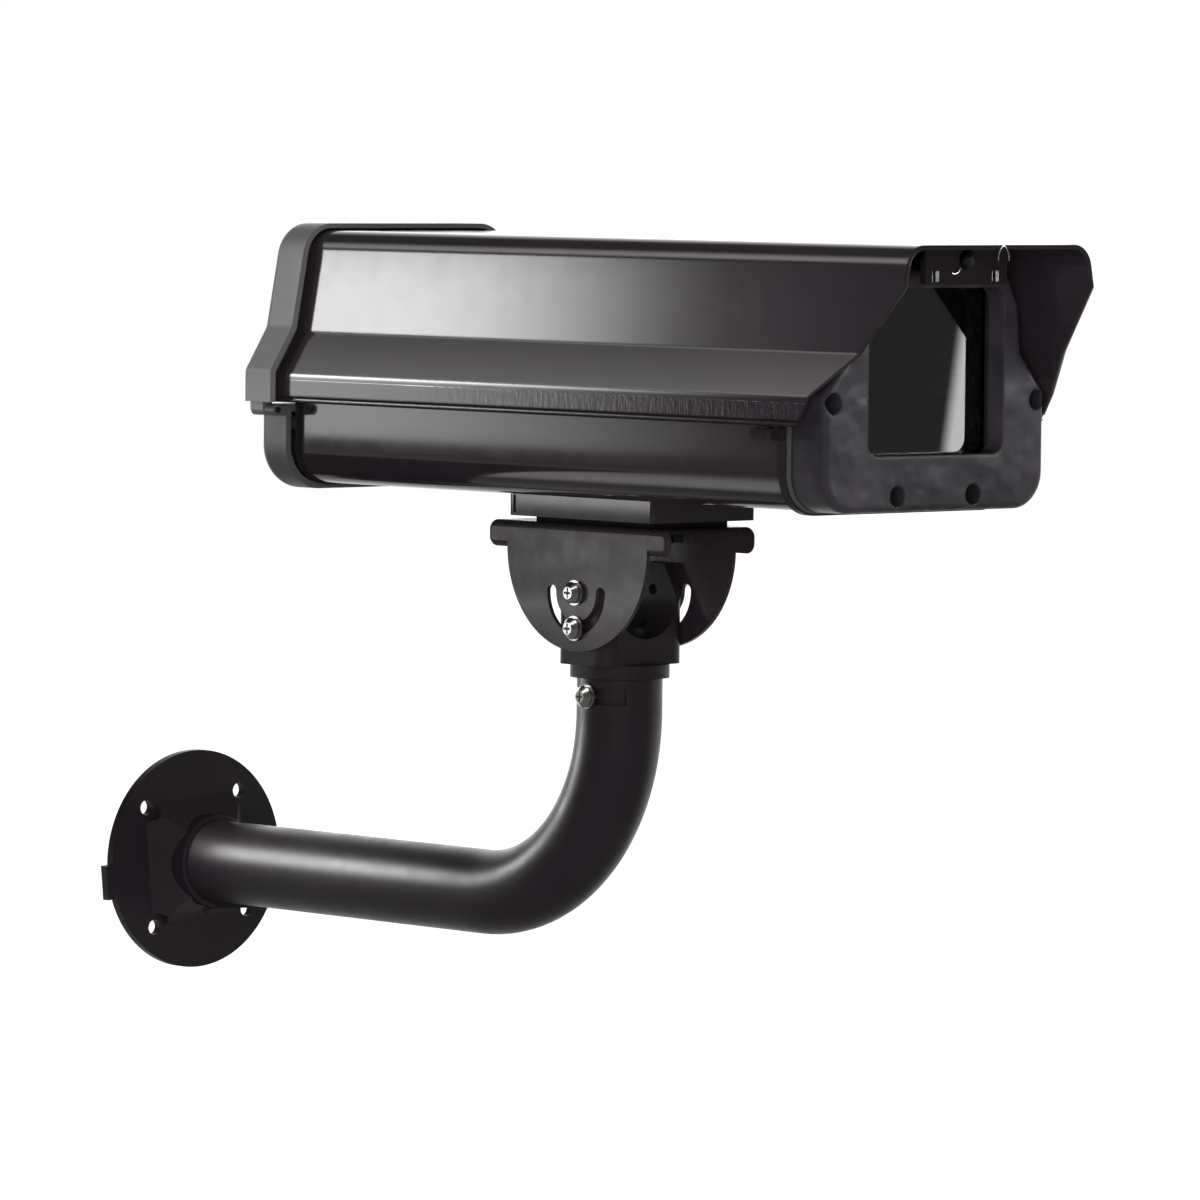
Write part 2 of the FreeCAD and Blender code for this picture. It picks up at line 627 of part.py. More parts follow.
def make_yoke():
    yoke = on_pivot(Piece("yoke"))
    half, top, tab = s.yoke_half, s.yoke_top, s.tab_half
    yoke.add("YZ", circle(0, s.cheek_centre, s.cheek_radius), -half, half)
    crown = s.cheek_centre + s.cheek_radius
    yoke.cut("YZ", oblong(-s.cheek_radius, top, s.cheek_radius, crown), -half, half)
    yoke.add("YZ", oblong(-tab, s.tab_low, tab, top), -half, half)
    corners = [(y, z) for y in (-tab, tab) for z in (s.tab_low, top)]
    yoke.round(s.tab_corner, along("X", corners))
    yoke.round(s.bend_out, along("Y", [(-half, top), (half, top)]))
    low = s.cheek_centre - s.cheek_radius
    inner = half - s.sheet
    yoke.cut("XZ", oblong(-inner, low, inner, top - s.sheet), -tab, tab)
    yoke.cut("YZ", circle(0, 0, s.screw_dia / 2 + s.fit_gap), -half, half)
    yoke.cut("YZ", lower_slot(s.lock_radius, s.lock_slot), -half, half)
    yoke.cut("XY", both(*bolt_circles(s.bolt_dia / 2 + 0.3)), top - s.sheet, top)
    return yoke


def bolt_middle():
    """the rail's middle, where its bolts are centred, along Y from the pivot"""
    return (s.rail_rear - s.rail_front) / 2


def bolt_circles(radius):
    return [circle(0, bolt_middle() + s.bolt_pitch * side, radius) for side in (-0.5, 0.5)]


def rail_low():
    return s.yoke_top + s.pad_thick


def make_yoke_pad():
    pad = on_pivot(Piece("yoke_pad"))
    middle, deep, wide = bolt_middle(), s.pad_half_y, s.pad_half_x
    pad.add("XY", oblong(-wide, middle - deep, wide, middle + deep), s.yoke_top, rail_low())
    pad.cut("XY", both(*bolt_circles(s.bolt_dia / 2 + 0.3)), s.yoke_top, rail_low())
    return pad


def make_rail():
    """a pressed pan, open to the housing's floor, with a recessed panel in each side"""
    rail = on_pivot(Piece("mount_rail"))
    half, front, rear, wall = s.rail_half, s.rail_front, s.rail_rear, s.rail_wall
    low, high = rail_low(), s.body_low
    rail.add("XY", oblong(-half, -front, half, rear), low, high)
    rail.round(2.0, along("Z", [(x, y) for x in (-half, half) for y in (-front, rear)]))
    rail.cut("XY", oblong(-half + wall, -front + wall, half - wall, rear - wall), low + wall, high)
    rim = s.rail_border
    panel = oblong(-front + rim * 2, low + rim, rear - rim * 2, high - rim)
    rail.cut("YZ", panel, -half, -half + s.rail_recess)
    rail.cut("YZ", panel, half - s.rail_recess, half)
    rail.cut("XY", both(*bolt_circles(s.bolt_dia / 2 + 0.3)), low, low + wall)
    return rail


def make_rail_bolts():
    seat_z = s.yoke_top - s.sheet - s.washer_thick
    grip = s.body_low + s.body_wall + s.bolt_grip - seat_z
    bolt = Piece("rail_bolt_one", kept=False)
    bolt.add("XY", circle(0, 0, s.bolt_dia / 2), -grip, 0)
    bolt.add("XY", hexagon(s.bolt_head_wide), 0, s.bolt_head_high)
    spots = [pivot_y + bolt_middle() + s.bolt_pitch * side for side in (-0.5, 0.5)]
    group("rail_bolts", bolt, [(0, y, pivot_z + seat_z) for y in spots], HEAD_DOWN)
    washer = plain_washer("rail_washer_one", s.bolt_dia + 0.4, s.bolt_dia * 2, s.washer_thick)
    group("rail_washers", washer, [(0, y, pivot_z + seat_z) for y in spots])
    floor = rail_low() + s.rail_wall
    bush = plain_washer("rail_bush_one", s.bolt_dia + 0.4, s.bush_dia, s.body_low - floor)
    group("rail_bushes", bush, [(0, y, pivot_z + floor) for y in spots])


# lower body


def port_spots():
    """where the body's four screw ports run, as x and z"""
    return [(x * side, z) for side in (-1, 1)
            for x, z in ((s.port_high_x, s.port_high_z), (s.port_low_x, s.port_low_z))]


def make_housing_body():
    """an extruded tray with screw ports along its walls and rails for the camera tray"""
    body = on_pivot(Piece("housing_body"))
    half, low, high, wall = s.body_half, s.body_low, s.body_high, s.body_wall
    front, rear = s.body_front, -s.body_rear
    body.add("XZ", oblong(-half, low, half, high), rear, front)
    inner, floor = half - wall, low + wall
    body.cut("XZ", oblong(-inner, floor, inner, high), rear, front)
    body.round(s.body_corner - wall, along("Y", [(-inner, floor), (inner, floor)]))
    body.round(s.body_corner, along("Y", [(-half, low), (half, low)]))
    for x, z in port_spots():
        body.add("XZ", circle(x, z, s.port_dia / 2), rear, front)
    bores = [circle(x, z, s.port_bore / 2 + s.fit_gap) for x, z in port_spots()]
    body.cut("XZ", both(*bores), rear, front)
    edge = s.tray_half + SLIDE * 2
    for side in (-1, 1):
        lane = [(edge - s.step_wide, floor), (edge + s.guide_wide, floor),
                (edge + s.guide_wide, s.guide_top), (edge, s.guide_top),
                (edge, s.rail_top), (edge - s.step_wide, s.rail_top)]
        body.add("XZ", outline([(x * side, z - wall / 2 if z is floor else z) for x, z in lane]),
                 rear, front)
    bosses = bolt_circles(s.bush_dia / 2)
    bosses += [circle(s.clamp_x * side, 0, s.clamp_dia) for side in (-1, 1)]
    body.add("XY", both(*bosses), floor - wall / 2, s.rail_top)
    taps = bolt_circles(s.bolt_dia / 2 + s.fit_gap)
    body.cut("XY", both(*taps), low, s.rail_top)
    taps = [circle(s.clamp_x * side, 0, s.clamp_dia / 2 + s.fit_gap) for side in (-1, 1)]
    body.cut("XY", both(*taps), floor, s.rail_top)
    for side in (-1, 1):
        x = half * side
        for y in (-s.thumb_front, s.thumb_rear):
            for step in (-0.5, 0.5):
                spot = circle(y + s.rivet_pitch * step, s.thumb_z, s.rivet_dia / 2 + s.fit_gap)
                if side > 0:
                    body.cut("YZ", spot, x - wall, x)
    return body


def make_rim_seals():
    """edge seals pushed over the two side walls"""
    seal = Piece("rim_seal_one", kept=False)
    half, grip, top = s.seal_half, s.seal_grip, s.seal_top
    wall = s.body_wall / 2 + 0.02
    section = [(-half, -grip), (-wall, -grip), (-wall, 0.02), (wall, 0.02), (wall, -grip),
               (half, -grip), (half, top), (-half, top)]
    seal.add("XZ", outline(section), -s.body_rear, s.body_front)
    seal.round(1.2, along("Y", [(-half, top), (half, top)]))
    middle = s.body_half - s.body_wall / 2
    group("rim_seals", seal, [(x, pivot_y, pivot_z + s.body_high) for x in (-middle, middle)])


# front


def closure(proud):
    """outline of the front end: a wide foot under the cover's lips, a neck inside the cover"""
    half = [(s.bezel_half, s.bezel_low), (s.bezel_half, s.shoulder_z), (s.neck_half, s.neck_z),
            (s.brow_half, s.brow_z), (s.bezel_top_half, s.bezel_top)]
    return grow(mirrored(half), proud)


def lower_corners(points):
    return along("Y", [points[0], points[-1]])


def upper_corners(points):
    return along("Y", points[1:-1])


def glass_box(extra):
    """the window's opening with a border around it"""
    return (-s.window_half - extra, s.window_low - extra, s.window_half + extra, s.window_top + extra)


def window_corners(extra):
    low_x, low_z, high_x, high_z = glass_box(extra)
    return along("Y", [(x, z) for x in (low_x, high_x) for z in (low_z, high_z)])


def bezel_spots():
    return [(x * side, z) for side in (-1, 1)
            for x, z in ((s.bezel_high_x, s.bezel_high_z), (s.bezel_low_x, s.bezel_low_z))]


def make_front_flange():
    flange = on_pivot(Piece("front_flange"))
    back, face = s.body_front, s.body_front + s.flange_thick
    points = closure(s.flange_proud)
    flange.add("XZ", outline(points), back, face)
    flange.round(s.bezel_corner + s.flange_proud, lower_corners(points))
    flange.round(3.0, upper_corners(points))
    flange.cut("XZ", oblong(*glass_box(0)), back, face)
    flange.round(s.window_corner, window_corners(0))
    ear = [(-s.bezel_half, s.hinge_z - s.knuckle), (-s.bezel_half, s.hinge_z + s.knuckle),
           (-s.lip_half, s.hinge_z + s.knuckle), (-s.lip_half, s.hinge_z - s.knuckle)]
    flange.add("XZ", outline(ear), back, face)
    flange.add("XZ", circle(-s.lip_half, s.hinge_z, s.knuckle), back, face)
    flange.cut("XZ", circle(-s.lip_half, s.hinge_z, s.pin_dia / 2 + s.fit_gap), back, face)
    taps = [circle(x, z, s.bezel_screw_dia / 2 + s.fit_gap) for x, z in bezel_spots()]
    taps += [circle(x, z, s.port_bore / 2 + s.fit_gap) for x, z in port_spots()]
    flange.cut("XZ", both(*taps), back, face)
    heads = [circle(x, z, s.port_bore * 0.95) for x, z in port_spots()]
    flange.cut("XZ", both(*heads), face - s.flange_thick / 2, face)
    return flange


def make_flange_screws():
    """cheese head screws that hold the flange to the body's ports, sunk under the gasket"""
    screw = Piece("flange_screw_one", kept=False)
    screw.add("XY", circle(0, 0, s.port_bore / 2), -s.port_bore * 4, 0)
    screw.add("XY", circle(0, 0, s.port_bore * 0.9), 0, s.flange_thick / 2)
    face = pivot_y - s.body_front - s.flange_thick / 2
    places = [(x, face, pivot_z + z) for x, z in port_spots()]
    group("flange_screws", screw, places, HEAD_FRONT)


def make_front_gasket():
    gasket = on_pivot(Piece("front_gasket"))
    back = s.body_front + s.flange_thick
    face = back + s.gasket_thick
    points = closure(s.gasket_proud)
    gasket.add("XZ", outline(points), back, face)
    gasket.round(s.bezel_corner + s.gasket_proud, lower_corners(points))
    border = s.glass_lap + 0.5
    gasket.cut("XZ", oblong(*glass_box(border)), back, face)
    holes = [circle(x, z, s.bezel_screw_dia / 2 + 0.2) for x, z in bezel_spots()]
    gasket.cut("XZ", both(*holes), back, face)
    return gasket


def make_bezel():
    """moulded frame: rounded face, side walls, a tunnel round the window, deep screw wells"""
    bezel = on_pivot(Piece("bezel"))
    back = s.body_front + s.flange_thick + s.gasket_thick
    face, skin = s.bezel_front, s.bezel_front - s.bezel_face
    points = closure(0)
    hollow = closure(-s.bezel_wall)
    bezel.add("XZ", outline(points), back, face)
    bezel.cut("XZ", outline(hollow), back, skin)
    bezel.round(s.bezel_corner - s.bezel_wall, lower_corners(hollow))
    bezel.round(s.bezel_corner, lower_corners(points))
    bezel.round(4.0, upper_corners(points))
    bezel.round(s.bezel_round, in_plane("Y", -face))
    seat_face = s.glass_front + s.glass_seal
    bezel.add("XZ", oblong(*glass_box(s.glass_lap)), seat_face, skin)
    bezel.round(s.glass_corner, window_corners(s.glass_lap))
    bezel.add("XZ", both(*[circle(x, z, s.boss_dia / 2) for x, z in bezel_spots()]), back, skin)
    bezel.cut("XZ", oblong(*glass_box(0)), back, face)
    bezel.round(s.window_corner, window_corners(0))
    wells = [circle(x, z, s.recess_dia / 2) for x, z in bezel_spots()]
    bezel.cut("XZ", both(*wells), s.recess_seat, face)
    holes = [circle(x, z, s.bezel_screw_dia / 2 + 0.2) for x, z in bezel_spots()]
    bezel.cut("XZ", both(*holes), back, s.recess_seat)
    return bezel


def make_bezel_screws():
    screw = pan_head_screw("bezel_screw_one", s.bezel_screw_dia, s.recess_seat - s.body_front,
                           s.recess_dia - 0.8, s.screw_head_high * 0.7)
    face = pivot_y - s.recess_seat
    places = [(x, face, pivot_z + z) for x, z in bezel_spots()]
    group("bezel_screws", screw, places, HEAD_FRONT)


def make_frame(name, border, opening, back, face):
    """a flat rectangular ring behind the bezel"""
    ring = on_pivot(Piece(name))
    ring.add("XZ", oblong(*glass_box(border)), back, face)
    ring.round(s.glass_corner, window_corners(border))
    ring.cut("XZ", oblong(*glass_box(opening)), back, face)
    return ring


def make_window():
    lap, face = s.glass_lap, s.glass_front
    back = face - s.glass_thick
    glass = on_pivot(Piece("window_glass"))
    glass.add("XZ", oblong(*glass_box(lap)), back, face)
    glass.round(s.glass_corner, window_corners(lap))
    make_frame("glass_front_gasket", lap, 0, face, face + s.glass_seal)
    make_frame("glass_rear_gasket", lap, 0, back - s.glass_seal, back)
    make_frame("glass_clamp", lap, 0, s.body_front + s.flange_thick, back - s.glass_seal)


# rear of the lower body


def gland_spots():
    return [(-s.gland_x, s.gland_z), (s.gland_x, s.gland_z)]


def make_rear_plate():
    half, low, high = s.body_half, s.body_low, s.body_high
    start = -s.body_rear - s.rear_gasket
    rim = s.rear_rim
    gasket = on_pivot(Piece("rear_gasket"))
    gasket.add("XZ", oblong(-half - rim, low - rim, half + rim, high), start, -s.body_rear)
    gasket.round(s.body_corner + rim, along("Y", [(x, low - rim) for x in (-half - rim, half + rim)]))
    side = s.seal_width
    inner = half - side * 3
    gasket.cut("XZ", oblong(-inner, low + side * 2, inner, high - side), start, -s.body_rear)
    holes = [circle(x, z, s.port_bore / 2 + 0.2) for x, z in port_spots()]
    gasket.cut("XZ", both(*holes), start, -s.body_rear)
    plate = on_pivot(Piece("rear_plate"))
    back = start - s.rear_plate
    plate.add("XZ", oblong(-half, low, half, high), back, start)
    plate.round(s.body_corner, along("Y", [(-half, low), (half, low)]))
    holes += [circle(x, z, s.gland_dia / 2 + 0.2) for x, z in gland_spots()]
    plate.cut("XZ", both(*holes), back, start)


def low_cap_outline(shrink):
    half = s.low_cap_half - shrink
    return oblong(-half, s.low_cap_low + shrink, half, s.low_cap_top - shrink)


def make_low_cap():
    cap = on_pivot(Piece("rear_cap_lower"))
    front = -s.body_rear - s.rear_gasket - s.rear_plate
    back = -s.low_cap_rear
    half, low = s.low_cap_half, s.low_cap_low
    wall = s.low_cap_wall
    inner = half - wall
    cap.add("XZ", low_cap_outline(0), back, front)
    cap.cut("XZ", low_cap_outline(wall), back + wall, front)
    cap.round(s.low_cap_corner - wall, along("Y", [(x, low + wall) for x in (-inner, inner)]))
    cap.round(s.low_cap_corner, along("Y", [(-half, low), (half, low)]))
    cap.round(s.low_cap_round, in_plane("Y", s.low_cap_rear, lambda edge: edge.BoundBox.ZMin
                                        > s.low_cap_top.value - 1))
    reach_ear = -s.low_cap_half + 1
    ear_low, ear_high = s.hinge_z - s.knuckle, s.low_cap_top - 0.4
    ear = [(reach_ear, ear_low), (reach_ear, ear_high), (-s.lip_half, ear_high), (-s.lip_half, ear_low)]
    cap.add("XZ", outline(ear), front - s.knuckle_long, front)
    cap.add("XZ", circle(-s.lip_half, s.hinge_z, s.knuckle), front - s.knuckle_long, front)
    pin = circle(-s.lip_half, s.hinge_z, s.pin_dia / 2 + s.fit_gap)
    cap.cut("XZ", pin, front - s.knuckle_long, front)
    bosses = both(*[circle(x, z, s.port_bore) for x, z in port_spots()])
    cap.add("XZ", bosses, back + wall / 2, front)
    holes = [circle(x, z, s.port_bore / 2 + 0.2) for x, z in port_spots()]
    holes += [circle(x, z, s.gland_dia / 2 + 0.2) for x, z in gland_spots()]
    cap.cut("XZ", both(*holes), back, front)
    return cap


def make_rear_fasteners():
    length = s.low_cap_rear - s.body_rear + s.port_bore * 3
    screw = pan_head_screw("low_cap_screw_one", s.port_bore, length, s.port_bore * 2, s.port_bore * 0.7)
    back = pivot_y + s.low_cap_rear
    group("lower_cap_screws", screw, [(x, back, pivot_z + z) for x, z in port_spots()], HEAD_REAR)
    bore = s.gland_bore / 2
    through = s.low_cap_rear - s.body_rear - s.rear_gasket + s.gland_nut * 1.5
    thread = s.gland_dia / 2
    gland = Piece("gland_body_one", kept=False)
    gland.add("XY", hexagon(s.gland_hex), 0, s.gland_flange)
    gland.add("XY", circle(0, 0, thread), -through, s.gland_flange + s.gland_cap_long / 2)
    gland.cut("XY", circle(0, 0, bore), -through, s.gland_flange + s.gland_cap_long / 2)
    spots = [(x, pivot_z + z) for x, z in gland_spots()]
    group("gland_bodies", gland, [(x, back, z) for x, z in spots], HEAD_REAR)
    nut = Piece("gland_nut_one", kept=False)
    nut.add("XY", both(hexagon(s.gland_hex), circle(0, 0, thread + s.fit_gap)), -s.gland_nut, 0)
    inside = pivot_y + s.body_rear + s.rear_gasket
    group("gland_lock_nuts", nut, [(x, inside, z) for x, z in spots], HEAD_REAR)
    dome = Piece("gland_cap_one", kept=False)
    wide, low, top = s.gland_hex / 2, s.gland_flange, s.gland_flange + s.gland_cap_long
    dome.turn([(thread + s.fit_gap, low), (wide, low), (wide, top - 3), (wide - 2.5, top),
               (bore, top), (bore, low + s.gland_cap_long / 2),
               (thread + s.fit_gap, low + s.gland_cap_long / 2)])
    group("gland_caps", dome, [(x, back, z) for x, z in spots], HEAD_REAR)
    plug = Piece("gland_plug_one", kept=False)
    plug.add("XY", circle(0, 0, bore - 0.02), -s.gland_cap_long, top - 1)
    group("gland_plugs", plug, [(x, back, z) for x, z in spots], HEAD_REAR)


# cover


def roof(proud, drop=0):
    """section of the cover: lips, flares, slanting sides and a roof that can lie lower"""
    lean = (s.fold_half - s.roof_half) / (s.roof_z - s.fold_z)
    half = [(s.lip_half, s.lip_low), (s.lip_half, s.lip_top), (s.fold_half, s.fold_z),
            (s.roof_half + lean * drop, s.roof_z - drop)]
    return grow(mirrored(half), proud)


def open_below(points, depth):
    """the outline with its bottom edge set at a given height"""
    return [(points[0][0], depth)] + points[1:-1] + [(points[-1][0], depth)]


def roof_corners(points):
    return along("Y", [points[3], points[4]])


def fold_corners(points):
    return along("Y", [points[1], points[2], points[5], points[6]])


def cap_spots():
    return [(x * side, z) for side in (-1, 1)
            for x, z in ((s.cap_high_x, s.cap_high_z), (s.cap_low_x, s.cap_low_z))]


def make_cover():
    """an extruded roof, cut back at a slant in front so that its top stands out as a visor"""
    cover = on_pivot(Piece("cover"))
    front, rear, wall = s.visor_front, -s.cover_rear, s.cover_wall
    points = roof(0)
    inner = open_below(roof(-wall), s.lip_low - 1)
    cover.add("XZ", outline(points), rear, front)
    cover.cut("XZ", outline(inner), rear, front)
    cover.round(s.roof_corner - wall, roof_corners(inner))
    cover.round(s.roof_corner, roof_corners(points))
    cover.round(2.5, fold_corners(points))
    slant = [(-front - 5, s.visor_low), (-front, s.visor_low), (-s.fold_front, s.fold_z),
             (-s.lip_top_front, s.lip_top), (-s.lip_low_front, s.lip_low),
             (-s.lip_low_front, s.lip_low - 5), (-front - 5, s.lip_low - 5)]
    cover.cut("YZ", outline(slant), -s.lip_half - 1, s.lip_half + 1)
    groove_low, groove_high = s.lip_low + s.groove_low, s.lip_low + s.groove_high
    for side in (-1, 1):
        edge, inside = s.lip_half * side, (s.lip_half - s.groove_deep) * side
        cover.cut("XZ", oblong(inside, groove_low, edge, groove_high), rear, front)
    for x, z in cap_spots():
        cover.add("XZ", circle(x, z, s.cap_boss_dia / 2), rear, rear + s.cap_boss_long)
    bores = both(*[circle(x, z, s.port_bore / 2 + s.fit_gap) for x, z in cap_spots()])
    cover.cut("XZ", bores, rear, rear + s.cap_boss_long)
    for y in (-s.thumb_front, s.thumb_rear):
        hole = circle(y, s.thumb_z, s.screw_dia / 2 + 0.2)
        cover.cut("YZ", hole, s.lip_half - wall * 1.5, s.lip_half)
    return cover


def make_upper_cap():
    """the cover's rear cap, proud of it all round, with the rear hinge ear below its near side"""
    cap = on_pivot(Piece("rear_cap_upper"))
    front, back = -s.cap_front, -s.cap_rear
    gap = s.cap_proud - s.cap_wall
    outer = open_below(roof(s.cap_proud, s.cap_proud - s.cap_rise), s.lip_low)
    inner = open_below(roof(gap, gap - s.cap_rise + s.cap_roof_wall), s.lip_low - 1)
    cap.add("XZ", outline(outer), back, front)
    cap.cut("XZ", outline(inner), back + s.cap_wall, front)
    cap.round(s.roof_corner + s.cap_proud - s.cap_wall, roof_corners(inner))
    cap.round(s.roof_corner + s.cap_proud, roof_corners(outer))
    cap.round(5.0, fold_corners(outer))
    cap.round(s.cap_round, in_plane("Y", s.cap_rear, lambda edge: edge.BoundBox.ZMax
                                    < s.lip_low.value + 1))
    knuckle_back = back + s.cap_wall - 0.1
    knuckle_front = -s.cover_rear - 1.4
    x, z, size = -s.lip_half, s.hinge_z, s.knuckle
    ear = oblong(-s.lip_half - s.cap_proud + s.cap_wall, z, x + size, s.lip_low + 5)
    cap.add("XZ", ear, knuckle_back, knuckle_front)
    cap.add("XZ", circle(x, z, size), knuckle_back, knuckle_front)
    cap.cut("XZ", circle(x, z, s.pin_dia / 2 + s.fit_gap), back, knuckle_front)
    holes = both(*[circle(x, z, s.port_bore / 2 + 0.2) for x, z in cap_spots()])
    cap.cut("XZ", holes, back, back + s.cap_wall)
    return cap


def make_cap_seal():
    seal = on_pivot(Piece("cap_seal"))
    front = -s.cap_front - s.cap_seal_back
    back = front - s.cap_seal_thick
    gap = s.cap_proud - s.cap_wall - s.fit_gap
    outer = open_below(roof(gap, gap - s.cap_rise + s.cap_roof_wall + s.fit_gap), s.lip_low)
    inner = open_below(roof(s.fit_gap), s.lip_low - 1)
    seal.add("XZ", outline(outer), back, front)
    seal.cut("XZ", outline(inner), back, front)
    seal.round(s.roof_corner, roof_corners(inner))
    seal.round(s.roof_corner + gap, roof_corners(outer))
    return seal


def make_cover_fasteners():
    screw = pan_head_screw("upper_cap_screw_one", s.port_bore, s.cap_boss_long, s.port_bore * 2,
                           s.port_bore * 0.7)
    back = pivot_y + s.cap_rear
    group("upper_cap_screws", screw, [(x, back, pivot_z + z) for x, z in cap_spots()], HEAD_REAR)
    thumb = Piece("thumb_screw_one", kept=False)
    inner = s.body_half + s.lug_reach - s.lug_wall - SLIDE
    shank = s.lip_half - inner
    rim = s.thumb_dia / 2
    button = s.button_dia / 2
    thumb.turn([(0, -shank - s.button_thick), (button, -shank - s.button_thick), (button, -shank),
                (s.screw_dia / 2, -shank), (s.screw_dia / 2, 0.2), (rim - 1, 0.2), (rim, 1.2),
                (rim, s.thumb_long - 1), (rim - 1, s.thumb_long), (0, s.thumb_long)])
    spots = (pivot_y - s.thumb_front, pivot_y + s.thumb_rear)
    height = pivot_z + s.thumb_z
    group("cover_thumb_screws", thumb, [(s.lip_half, y, height) for y in spots], HEAD_FAR)


def make_screw_lugs():
    """channels riveted to the far wall, slotted from above so that the thumb screws lift out"""
    lug = Piece("screw_lug_one", kept=False)
    wall, out, long_half = s.lug_wall, s.lug_reach, s.lug_long / 2
    low, high = -s.lug_drop, s.lug_rise
    section = [(0, low), (out, low), (out, high), (out - wall, high), (out - wall, low + wall),
               (wall, low + wall), (wall, high - s.lug_step), (0, high - s.lug_step)]
    lug.add("XZ", outline(section), -long_half, long_half)
    slot = s.screw_dia / 2 + 0.3
    lug.cut("YZ", both(oblong(-slot, 0, slot, high)), out - wall, out)
    lug.cut("YZ", circle(0, 0, slot), out - wall, out)
    for step in (-0.5, 0.5):
        lug.cut("YZ", circle(s.rivet_pitch * step, 0, s.rivet_dia / 2 + s.fit_gap), 0, wall)
    spots = (pivot_y - s.thumb_front, pivot_y + s.thumb_rear)
    height = pivot_z + s.thumb_z
    group("screw_lugs", lug, [(s.body_half, y, height) for y in spots])
    rivet = Piece("lug_rivet_one", kept=False)
    rivet.add("XY", circle(0, 0, s.rivet_dia / 2), -s.lug_wall - s.body_wall, 0)
    rivet.add("XY", circle(0, 0, s.rivet_dia), 0, s.rivet_dia / 3)
    face = s.body_half + s.lug_wall
    places = [(face, y + s.rivet_pitch * step, height) for y in spots for step in (-0.5, 0.5)]
    group("lug_rivets", rivet, places, HEAD_FAR)


# hinge


def make_hinge():
    """front ear inside the cover's lip, and the two pins that the cover turns on"""
    ear = on_pivot(Piece("front_hinge_ear"))
    front = s.body_front - 0.3
    back = front - s.hinge_ear_long
    x, z, size = -s.lip_half, s.hinge_z, s.knuckle
    inner = x + s.cover_wall
    low_top = s.lip_low - 0.3
    plate = [(x, z), (inner + 2, z), (inner + 2, s.hinge_plate_top), (inner, s.hinge_plate_top),
             (inner, low_top), (x, low_top)]
    ear.add("XZ", outline(plate), back, front)
    ear.add("XZ", circle(x, z, size), back, front)
    ear.cut("XZ", circle(x, z, s.pin_dia / 2 + s.fit_gap), back, front)
    pin = Piece("front_pin_one", kept=False)
    long_pin = s.flange_thick + s.hinge_ear_long + 2
    pin.add("XY", circle(0, 0, s.pin_dia / 2), -long_pin, 0)
    rear_front = pivot_y + s.body_rear + s.rear_gasket + s.rear_plate - 0.8
    places = [(x, pivot_y - s.body_front - s.flange_thick - 0.8, pivot_z + z),
              (x, rear_front, pivot_z + z)]
    group("hinge_pins", pin, places, HEAD_FRONT)


# camera tray


def make_tray():
    tray = on_pivot(Piece("camera_tray"))
    low = s.rail_top + SLIDE
    high = low + s.tray_thick
    half = s.tray_half
    tray.add("XY", oblong(-half, -s.tray_front, half, s.tray_rear), low, high)
    tray.round(4.0, along("Z", [(x, y) for x in (-half, half) for y in (-s.tray_front, s.tray_rear)]))
    wide = s.clamp_dia / 2 + 0.5
    run = s.tray_travel + wide + 1
    slots = [oblong(s.clamp_x * side - wide, -run, s.clamp_x * side + wide, run) for side in (-1, 1)]
    bolt = s.camera_screw_dia / 2 + 0.3
    mid = -s.camera_screw_front
    slots.append(oblong(-bolt, mid - s.camera_slot_front, bolt, mid + s.camera_slot_rear))
    tray.cut("XY", both(*slots), low, high)
    screw = Piece("camera_screw")
    shank, head = s.camera_screw_dia / 2, s.camera_screw_dia
    screw.add("XY", circle(0, 0, head), -3.4, 0)
    screw.add("XY", circle(0, 0, shank), 0, s.tray_thick + s.camera_screw_rise)
    seat(screw.body, 0, pivot_y - s.camera_screw_front, pivot_z + low)


def make_clamp_screws():
    screw = Piece("clamp_screw_one", kept=False)
    face = s.rail_top + SLIDE * 2 + s.tray_thick
    rim = s.clamp_head / 2
    reach_down = face - s.body_low - s.body_wall
    screw.turn([(0, -reach_down), (s.clamp_dia / 2, -reach_down), (s.clamp_dia / 2, 0), (rim, 0),
                (rim, 5), (rim - 1, 6), (0, 6)])
    places = [(s.clamp_x * side, pivot_y, pivot_z + face) for side in (-1, 1)]
    group("tray_clamp_screws", screw, places)


# under the visor


